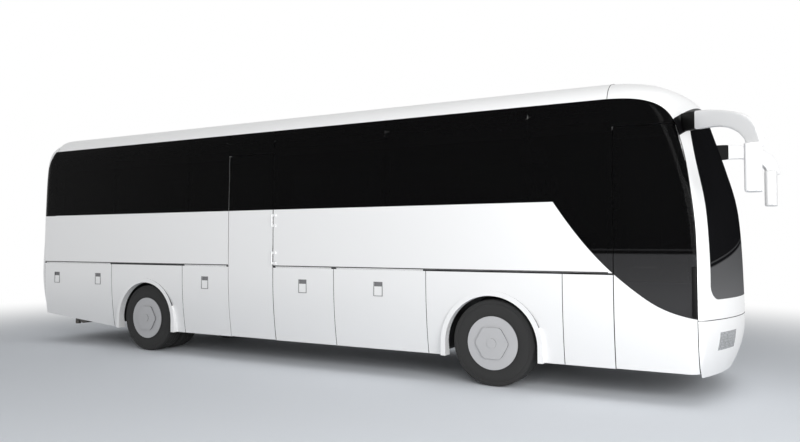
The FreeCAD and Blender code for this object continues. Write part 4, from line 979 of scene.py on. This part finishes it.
@dataclass
class Tyre:
    """One tyre: a turned carcass with grooves round it and cut shoulder blocks."""

    centre: Vector
    radius: float
    width: float
    rim: float
    steps: int = 96
    groove_depth: float = 0.012
    groove_half: float = 0.006
    groove_floor_share: float = 0.6
    groove_shares: Sequence[float] = (0.52, 0.17, -0.17, -0.52)
    shoulder_drop: float = 0.011
    tread_share: float = 0.8
    tread_drop: float = 0.003
    section: Sequence[tuple[str, float, float]] = (
        ("rim", 0.026, 0.0), ("rim", 0.012, 0.012), ("rim", 0.006, 0.035), ("wall", 0.0, -0.02),
        ("wall", 0.0, 0.03), ("wall", 0.004, 0.055), ("shoulder", 0.006, -0.045),
        ("shoulder", 0.002, -0.04), ("shoulder", 0.003, -0.02), ("shoulder", 0.011, 0.0))
    blocks: int = 72
    block_share: float = 0.34
    block_inner_share: float = 0.6
    block_inset: float = 0.004
    block_slope: float = 0.009
    block_drops: Sequence[float] = (0.04, 0.008, 0.0005, 0.02)

    def profile(self) -> list[tuple[float, float]]:
        """The carcass's outline as (place across, radius) pairs, from one bead to the other."""
        half = self.width / 2.0
        heights = {"rim": self.rim, "wall": (self.radius + self.rim) / 2.0,
                   "shoulder": self.radius - self.shoulder_drop}
        side = [(half - inset, heights[level] + rise) for level, inset, rise in self.section]
        side.append((half * self.tread_share, self.radius - self.tread_drop))
        low = self.radius - self.groove_depth
        floor_half = self.groove_half * self.groove_floor_share
        grooves = []
        for share in self.groove_shares:
            y = half * share
            grooves += [(y + self.groove_half, self.radius), (y + floor_half, low),
                        (y - floor_half, low), (y - self.groove_half, self.radius)]
        back = [(-y, r) for y, r in side[::-1]]
        return side + grooves + back

    def shoulder_block(self) -> Object:
        """One shoulder block pair, modelled about the axle's line at the origin."""
        half = self.width / 2.0
        pitch = 2.0 * math.pi * self.radius / self.blocks
        long = pitch * self.block_share
        foot, outer_edge, inner_edge, inner_foot = [self.radius - drop for drop in self.block_drops]
        verts: list[tuple[float, float, float]] = []
        faces: list[tuple[int, ...]] = []
        for side in (-1.0, 1.0):
            base = len(verts)
            outer, inner = side * (half - self.block_inset), side * half * self.block_inner_share
            for x in (-long, long):
                verts += [(x, outer, foot), (x, outer - side * self.block_slope, outer_edge),
                          (x, inner, inner_edge), (x, inner, inner_foot)]
            quads = [(0, 1, 5, 4), (1, 2, 6, 5), (2, 3, 7, 6), (3, 0, 4, 7), (3, 2, 1, 0), (4, 5, 6, 7)]
            faces += [tuple(base + i for i in (q if side > 0 else q[::-1])) for q in quads]
        mesh = bpy.data.meshes.new("shoulder_block")
        mesh.from_pydata(verts, [], faces)
        return object_of("shoulder_block", mesh, [Finishes.rubber], smooth=False)

    def build(self, name: str) -> Object:
        """The whole tyre as one object.

        Args:
            name: the object's name.

        Returns:
            The tyre.
        """
        carcass = lathe(name + "_carcass", self.profile(), self.steps, self.centre, 1, Finishes.rubber)
        ring = Repeat(self.blocks, turn=(0.0, 2.0 * math.pi / self.blocks, 0.0))
        blocks = ring.build(name + "_blocks", self.shoulder_block(), Finishes.rubber, self.centre)
        return joined(name, [carcass, blocks])


@dataclass
class Wheels:
    """All tyres and wheels, with grey covers, steps darkened as painted shade, and dark rims."""

    rim_radius: float = 0.285
    twin_gap: float = 0.33
    cover_deep: float = 0.048
    step_share: float = 0.9

    def tyres(self, end: str, side: str) -> None:
        """Makes the tyre or the twin tyres at one corner.

        Args:
            end: front or rear.
            side: right or left.
        """
        node = f"tyre_{end}_{side}"
        low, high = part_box(node)
        sign = SIDES[side]
        width = (high.y - low.y) if end == "front" else (high.y - low.y) - self.twin_gap
        radius = (high.z - low.z) / 2.0
        outer = (high.y if sign > 0 else low.y) - sign * width / 2.0
        middles = [outer] if end == "front" else [outer, outer - sign * self.twin_gap]
        parts = []
        for i, y in enumerate(middles):
            centre = Vector(((low.x + high.x) / 2.0, y, (low.z + high.z) / 2.0))
            parts.append(Tyre(centre, radius, width, self.rim_radius).build(f"{node}_part{i}"))
        piece = joined(node + "_rubber", parts)
        settle(piece, body_of(node), [node])

    def rims(self, end: str, side: str) -> None:
        """Dresses one wheel: the cover is light, its sideways-facing step faces get painted shade, and what
        lies behind it is dark.

        Args:
            end: front or rear.
            side: right or left.
        """
        node = f"wheel_{end}_{side}"
        low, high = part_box(node)
        sign = SIDES[side]
        outer = high.y if sign > 0 else -low.y
        mesh = merged_copy(node)
        cover_back = outer - self.cover_deep
        kinds = []
        for face in mesh.polygons:
            # Cover faces that turn sideways, the steps, get painted shade.
            step = abs(face.normal.y) < self.step_share
            kinds.append(1 if sign * face.center.y < cover_back else 2 if step else 0)
        finishes = [Finishes.cover, Finishes.rim, Finishes.step_shade]
        dressed(node, "_disc", mesh, finishes, kinds)

    def build(self) -> None:
        """Makes all four corners."""
        for end in ("front", "rear"):
            for side in SIDES:
                self.tyres(end, side)
                self.rims(end, side)


@dataclass
class Mirrors:
    """The mirror arms and heads, softened where they meet, with black sleeves and reflecting faces."""

    sleeve: float = 0.30
    swing: float = 40.34
    head_width: float = 0.25
    head_deep: float = 0.15
    rim: float = 0.025
    glass_high: float = 0.33
    voxel: float = 0.009
    rounds: int = 10

    def softened(self, mesh: Mesh) -> Mesh:
        """The mesh remeshed and smoothed, so that its edges and joins are moulded round.

        Args:
            mesh: the CAD shape.

        Returns:
            The soft shape.
        """
        work = remeshed(linked("mirror_work", mesh), self.voxel)
        smooth = work.modifiers.new("smooth", "SMOOTH")
        smooth.factor = 0.5
        smooth.iterations = self.rounds
        return evaluated_mesh(work)

    def build(self) -> None:
        """Dresses both mirrors."""
        for side, sign in SIDES.items():
            node = "mirror_" + side
            low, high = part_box(node)
            root_y = low.y if sign > 0 else high.y
            limit = abs(root_y) + self.sleeve * math.sin(math.radians(self.swing))
            mesh = self.softened(merged_copy(node))
            kinds = [int(abs(p.center.y) < limit) for p in mesh.polygons]
            dressed(node, "_arm", mesh, [Finishes.paint, Finishes.ceramic], kinds)
            self.face(side, sign, low, high)

    def face(self, side: str, sign: float, low: Vector, high: Vector) -> None:
        """Makes the reflecting face on the head's rear side.

        Args:
            side: right or left.
            sign: the side's sign along Y.
            low: the mirror's lowest corner.
            high: its highest corner.
        """
        outer = max(abs(low.y), abs(high.y))
        back = high.x - self.head_deep
        foot = low.z + self.rim
        piece = plate(f"mirror_{side}_glass", (back - 0.004, back + 0.006), (foot, foot + self.glass_high),
                      (outer - self.rim, outer - (self.head_width - self.rim)), sign, 0.003,
                      Finishes.mirror)
        settle(piece, "coach")


@dataclass
class Lamps:
    """Headlamp lenses, and tail lamps with an amber band between their red parts."""

    amber_low: float = 0.4
    amber_high: float = 0.62

    def build(self) -> None:
        """Dresses the lamp nodes."""
        dressed("headlamps", "_lens", merged_copy("headlamps"), [Finishes.clear])
        low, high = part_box("tail_lamps")
        mesh = merged_copy("tail_lamps")
        shares = [(p.center.z - low.z) / (high.z - low.z) for p in mesh.polygons]
        kinds = [int(self.amber_low < share < self.amber_high) for share in shares]
        dressed("tail_lamps", "_lens", mesh, [Finishes.red, Finishes.amber], kinds)


@dataclass
class Handles:
    """A thin dark frame and a grey back at each flap's handle, at the pockets cut in the flaps: painted
    shade of the gap round the handle and of the pocket's shaded recess.
    """

    flaps: Sequence[str] = ("engine_flap_right", "engine_flap_left", "hold_flap_rear_right",
                            "hold_flap_middle_right", "hold_flap_middle_left", "hold_flap_front_right",
                            "hold_flap_front_left", "hold_flap_long_left")
    pocket_depth: float = 0.012
    pocket_width: float = 0.12
    pocket_low: float = 1.035
    pocket_high: float = 1.205
    grip_top: float = 1.154
    line: float = 0.008
    proud: float = 0.0015
    sunk: float = 0.004
    edge: float = 0.0012

    def places(self, node: str, sign: float) -> list[float]:
        """Where the flap's pockets are.

        Args:
            node: the flap's name.
            sign: its side's sign along Y.

        Returns:
            The pockets' middles along X.
        """
        mesh = frame["nodes"][node].data
        low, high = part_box(node)
        bottom = max(abs(low.y), abs(high.y)) - self.pocket_depth
        found: list[float] = []
        for face in mesh.polygons:
            flat = abs(abs(face.center.y) - bottom) < self.proud and face.normal.y * sign > 0.99
            if flat and self.grip_top < face.center.z < self.pocket_high:
                points = [mesh.vertices[i].co.x for i in face.vertices]
                middle = (min(points) + max(points)) / 2.0
                if all(abs(middle - other) > self.pocket_width for other in found):
                    found.append(middle)
        return found

    def handle(self, name: str, x: float, sign: float, surface: float) -> list[Object]:
        """One handle's painted-shade frame and the painted shadow at the back of its pocket.

        Args:
            name: the start of the pieces' names.
            x: its middle along X.
            sign: its side's sign along Y.
            surface: the flap's outer face, as a distance from the middle plane.

        Returns:
            The pieces.
        """
        half, line, low, high = self.pocket_width / 2.0, self.line, self.pocket_low, self.pocket_high
        tall, wide = (low - line, high + line), (x - half, x + half)
        bars = (((x - half - line, x - half), tall), ((x + half, x + half + line), tall),
                (wide, (low - line, low)), (wide, (high, high + line)))
        faces = (surface - self.sunk, surface + self.proud)
        # The frame bars are painted shade: the dark line of the gap round the handle.
        pieces = [plate(f"{name}_bar{i}", across, up, faces, sign, self.edge, Finishes.handle_shade)
                  for i, (across, up) in enumerate(bars)]
        # The back plate is a painted shadow in the upper part of the pocket, where the recess is shaded.
        inner = surface - self.pocket_depth
        pieces.append(plate(f"{name}_back", (x - half + 0.001, x + half - 0.001),
                            (self.grip_top, high - 0.001), (inner + 0.0006, inner + 0.005), sign, 0.001,
                            Finishes.handle_shade))
        return pieces

    def build(self) -> None:
        """Makes every flap's handles."""
        for node in self.flaps:
            sign = SIDES["right" if node.endswith("right") else "left"]
            low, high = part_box(node)
            surface = max(abs(low.y), abs(high.y))
            pieces = []
            for i, x in enumerate(self.places(node, sign)):
                pieces += self.handle(f"{node}_handle{i}", x, sign, surface)
            if pieces:
                settle(joined(node + "_handles", pieces), body_of(node))


@dataclass
class SeamStrips:
    """The dark rubber strip in the long seam over the flaps, on both sides."""

    height: float = 1.3885
    tall: float = 0.011
    surface: float = 1.2755
    proud: float = 0.0015
    sunk: float = 0.004
    edge: float = 0.0012
    rear_end: float = -5.55
    door_rear: float = -1.284
    door_front: float = -0.434
    front_end: float = 4.25

    def build(self) -> None:
        """Makes the strips."""
        for side, sign in SIDES.items():
            runs = [(self.rear_end, self.front_end)]
            if side == "right":
                runs = [(self.rear_end, self.door_rear), (self.door_front, self.front_end)]
            up = (self.height, self.height + self.tall)
            faces = (self.surface - self.sunk, self.surface + self.proud)
            strips = [plate(f"seam_{side}{i}", across, up, faces, sign, self.edge, Finishes.gasket)
                      for i, across in enumerate(runs)]
            settle(joined(f"seam_strip_{side}", strips), "coach")


@dataclass
class DoorTrim:
    """The finger guard on the front door's leading edge."""

    guard_wide: float = 0.045
    guard_low: float = 0.94
    guard_high: float = 1.47
    guard_thick: float = 0.022
    guard_out: float = 0.008

    def build(self) -> None:
        """Makes the guard."""
        low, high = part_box("front_door_glass")
        face = low.y - self.guard_out
        guard = rounded_box("front_door_guard", (high.x - self.guard_wide, face, self.guard_low),
                            (high.x - 0.002, face + self.guard_thick, self.guard_high), 0.009,
                            Finishes.ceramic, 4)
        settle(guard, body_of("front_door_glass"))


@dataclass
class Seats:
    """Padded seats: one pair of pads is simulated and laid out in rows, and the driver's are made alike."""

    pitch: float = 0.74
    rows: int = 11
    door_rows: tuple[int, int] = (5, 6)
    depth: float = 0.45
    cushion_top: float = 0.45
    cushion_deep: float = 0.13
    back_top: float = 1.08
    back_deep: float = 0.11
    lean: float = 0.19
    pedestal: float = 0.2
    pad_gap: float = 0.014
    pad_edge: float = 0.025
    voxel: float = 0.008
    pressure: float = 4.0
    frames: int = 20
    swell_limit: float = 0.022
    pad_faces: int = 700
    seam_shares: tuple[float, float] = (0.22, 0.78)
    seam_deep: float = 0.007
    seam_half: float = 0.012
    shell_thick: float = 0.026
    pan_thick: float = 0.028
    frame_edge: float = 0.012
    arm_low: float = 0.62
    arm_high: float = 0.655
    arm_front: float = 0.33
    arm_half: float = 0.022

    def leaning(self, piece: Object) -> Object:
        """The piece with everything above the cushion's foot leaned back as the seat's back is."""
        foot = self.cushion_top - self.cushion_deep
        for v in piece.data.vertices:
            v.co.x -= self.lean * max(0.0, v.co.z - foot) / (self.back_top - foot)
        return piece

    def pad(self, name: str, low: Sequence[float], high: Sequence[float]) -> Object:
        """One padded block, puffed up by a cloth simulation and thinned.

        Args:
            name: its name.
            low: its lowest corner.
            high: its highest corner.

        Returns:
            The pad.
        """
        pad = rounded_box(name + "_block", low, high, self.pad_edge, Finishes.cloth)
        soft = object_of(name + "_soft", evaluated_mesh(remeshed(pad, self.voxel)), [Finishes.cloth])
        self.puff(soft)
        self.pull_seams(soft, low, high)
        thin = soft.modifiers.new("thin", "DECIMATE")
        thin.ratio = min(1.0, self.pad_faces / max(len(soft.data.polygons) * 2, 1))
        return object_of(name, evaluated_mesh(soft), [Finishes.cloth])

    def puff(self, soft: Object) -> None:
        """Runs the cloth simulation on a pad and caps how far its points move.

        Args:
            soft: the pad.
        """
        rest = [v.co.copy() for v in soft.data.vertices]
        cloth = soft.modifiers.new("cloth", "CLOTH")
        cloth.settings.use_pressure = True
        cloth.settings.uniform_pressure_force = self.pressure
        cloth.settings.effector_weights.gravity = 0.0
        for step in range(1, self.frames + 1):
            bpy.context.scene.frame_set(step)
        shaped = soft.evaluated_get(bpy.context.evaluated_depsgraph_get())
        moved = [v.co.copy() for v in shaped.data.vertices]
        soft.modifiers.remove(cloth)
        bpy.context.scene.frame_set(1)
        for v, a, b in zip(soft.data.vertices, rest, moved):
            shift = b - a
            v.co = a + shift * min(1.0, self.swell_limit / max(shift.length, 1e-9))

    def pull_seams(self, soft: Object, low: Sequence[float], high: Sequence[float]) -> None:
        """Sews two channels along the pad, near its sides.

        Args:
            soft: the pad.
            low: the block's lowest corner.
            high: its highest corner.
        """
        width = high[1] - low[1]
        middle = Vector([(a + b) / 2.0 for a, b in zip(low, high)])
        for v in soft.data.vertices:
            reach = min(abs(v.co.y - low[1] - width * share) for share in self.seam_shares)
            pull = self.seam_deep * max(0.0, 1.0 - reach / self.seam_half)
            away = (v.co - middle).normalized()
            away.y = 0.0
            v.co -= away * pull

    def bench(self, name: str, widths: Sequence[tuple[float, float]], aisle: float) -> tuple:
        """One bench about its rear foot at the origin: its pads and its frame.

        Args:
            name: the start of the pieces' names.
            widths: each seat's edges along Y.
            aisle: the edge that carries the armrest.

        Returns:
            The pads and the frame, two objects.
        """
        foot = self.cushion_top - self.cushion_deep
        y0, y1 = widths[0][0], widths[0][1]
        gap = self.pad_gap
        seat = self.pad(name + "_seat", (self.back_deep * 0.8, y0 + gap, foot + 0.03),
                        (self.depth - 0.006, y1 - gap, self.cushion_top - 0.012))
        back = self.leaning(self.pad(name + "_back", (0.03, y0 + gap, self.cushion_top + 0.02),
                                     (self.back_deep - 0.008, y1 - gap, self.back_top - 0.02)))
        pads = [seat, back]
        for a, _ in widths[1:]:
            for piece in (seat, back):
                mesh = piece.data.copy()
                mesh.transform(Matrix.Translation((0.0, a - y0, 0.0)))
                pads.append(object_of(piece.name + "_next", mesh, [Finishes.cloth]))
        low, high = widths[0][0], widths[-1][1]
        start = (self.depth - self.pedestal) / 2.0
        back_at_arm = 0.012 - self.lean * (self.arm_low - foot) / (self.back_top - foot)
        boxes = {"_foot": ((start, low + 0.004, 0.0), (start + self.pedestal, high - 0.004, foot),
                           self.frame_edge),
                 "_pan": ((0.0, low, foot), (self.depth, high, foot + self.pan_thick), self.frame_edge),
                 "_shell": ((0.0, low, foot + 0.02), (self.shell_thick, high, self.back_top), 0.01)}
        frames = [rounded_box(name + part, *box, Finishes.soft_grey) for part, box in boxes.items()]
        self.leaning(frames[-1])
        frames.append(rounded_box(name + "_arm", (back_at_arm, aisle - self.arm_half, self.arm_low),
                                  (self.arm_front, aisle + self.arm_half, self.arm_high), 0.014,
                                  Finishes.plastic))
        return joined(name + "_pads", pads), joined(name + "_frame", frames)

    def laid(self, name: str, shape: Object, start: Vector, side: str) -> Object:
        """A shape laid out in a side's rows, with a gap at the middle door.

        Args:
            name: the new piece's name.
            shape: the shape, which goes.
            start: the first row's place.
            side: right or left.

        Returns:
            The piece.
        """
        copies = []
        for row in range(self.rows):
            if side == "right" and row in self.door_rows:
                continue
            mesh = shape.data.copy()
            mesh.transform(Matrix.Translation(start + Vector((self.pitch * row, 0.0, 0.0))))
            copies.append(linked(f"{name}_row{row}", mesh))
        bpy.data.objects.remove(shape)
        return joined(name, copies)

    def build(self) -> None:
        """Makes both sides' seats and the driver's."""
        for side in SIDES:
            node = "passenger_seats_" + side
            low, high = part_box(node)
            middle = (low.y + high.y) / 2.0
            aisle = high.y if side == "right" else low.y
            pads, frames = self.bench(side + "_bench", [(low.y, middle), (middle, high.y)], aisle)
            start = Vector((low.x + self.lean, 0.0, low.z))
            settle(self.laid(node + "_frames", frames, start, side), "coach", [node])
            pads = settle(self.laid(node + "_pads", pads, start, side), "coach", [node])
        low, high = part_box("driver_seat")
        pads, frames = self.bench("driver", [(low.y, high.y)], high.y)
        for piece, slot in ((frames, "black_plastic"), (pads, "seat_cloth")):
            piece.data.transform(Matrix.Translation((low.x + self.lean, 0.0, low.z)))
            settle(piece, "coach", ["driver_seat"])


class Light(Enum):
    """The studio's lamps: what each is for."""

    SIDE = "side"
    FRONT = "front"


@dataclass
class Studio:
    """The pale floor, the soft light and the camera of the photograph."""

    floor_colour: Colour = (0.80, 0.83, 0.87)
    floor_half: float = 60.0
    camera_place: Point = (6.2308, -9.4709, 1.7248)
    camera_turn: float = 30.1286
    camera_pitch: float = 2.0233
    lens: float = 33.0426
    shift: tuple[float, float] = (0.013125, -0.005625)
    fade: tuple[float, float] = (6.0, 14.5)
    world_light: float = 0.38
    lamps: Sequence[tuple[Light, Point, Point, float, float]] = (
        (Light.SIDE, (8.0, -13.0, 5.5), (1.0, 0.0, 1.5), 8.0, 850.0),
        (Light.FRONT, (12.0, -7.5, 3.0), (4.5, -0.8, 1.2), 5.0, 610.0))

    def floor(self) -> None:
        """A wide floor that fades to white far away."""
        half = self.floor_half
        shader = Shader("studio_floor")
        settings = {"operation": "LENGTH"}
        distance = shader.node("ShaderNodeVectorMath", settings, {0: shader.place()}, "Value")
        far = distance.between(*self.fade)
        shader.set(Base_Color=self.floor_colour, Roughness=0.9, Specular_IOR_Level=0.1)
        glow = shader.node("ShaderNodeEmission", {}, {"Color": (1.0, 1.0, 1.0, 1.0), "Strength": 1.0})
        blend = shader.mixed(far * shader.seen_directly(), Signal(shader, shader.surface.outputs[0]), glow)
        shader.tree.links.new(blend.socket, shader.exit.inputs["Surface"])
        mesh = bpy.data.meshes.new("studio_floor")
        mesh.from_pydata([(-half, -half, 0), (half, -half, 0), (half, half, 0), (-half, half, 0)], [],
                         [(0, 1, 2, 3)])
        mesh.materials.append(shader.material)
        linked("studio_floor", mesh)

    def world(self) -> None:
        """White all round, a little dimmer as light than as background."""
        world = bpy.data.worlds.new("studio_world")
        bpy.context.scene.world = world
        world.use_nodes = True
        tree = Nodes(world.node_tree)
        strengths = (((0.98, 0.99, 1.0, 1.0), self.world_light), ((1.0, 1.0, 1.0, 1.0), 1.0))
        light, seen = [tree.node("ShaderNodeBackground", {}, {"Color": colour, "Strength": strength})
                       for colour, strength in strengths]
        whole = tree.mixed(tree.seen_directly(), light, seen)
        tree.node("ShaderNodeOutputWorld", {}, {"Surface": whole})

    def lamp(self, kind: Light, place: Point, aim: Point, size: float, power: float) -> None:
        """One large soft lamp.

        Args:
            kind: what it is for.
            place: where it hangs.
            aim: the point it faces.
            size: its edge.
            power: its power in watts.
        """
        data = bpy.data.lights.new("lamp_" + kind.value, "AREA")
        data.size = size
        data.energy = power
        lamp = linked("lamp_" + kind.value, data)
        lamp.location = place
        lamp.rotation_euler = (Vector(aim) - Vector(place)).to_track_quat("-Z", "Y").to_euler()

    def camera(self) -> None:
        """The photograph's camera."""
        data = bpy.data.cameras.new("photo_camera")
        data.lens = self.lens
        data.sensor_width = 36.0
        data.shift_x, data.shift_y = self.shift
        data.clip_end = 500.0
        camera = linked("photo_camera", data)
        camera.location = self.camera_place
        camera.rotation_euler = (math.pi / 2.0 + math.radians(self.camera_pitch), 0.0,
                                 math.radians(self.camera_turn))
        bpy.context.scene.camera = camera

    def build(self) -> None:
        """Sets up the whole studio."""
        self.floor()
        self.world()
        for lamp in self.lamps:
            self.lamp(*lamp)
        self.camera()
        bpy.context.scene.view_settings.view_transform = "Standard"


def main() -> None:
    """Builds every sub-assembly in order."""
    logging.basicConfig(level=logging.INFO, format="%(name)s: %(message)s")
    parts = (Shell(), Glazing(), PlainNodes(), Wheels(), Mirrors(), Lamps(), Handles(), SeamStrips(),
             DoorTrim(), Seats(), Studio())
    for part in parts:
        log.info("building %s", type(part).__name__)
        part.build()
    for piece in frame["nodes"].values():
        if not piece.hide_render:
            log.info("plain node %s", piece.name)


if __name__ == "__main__":
    main()
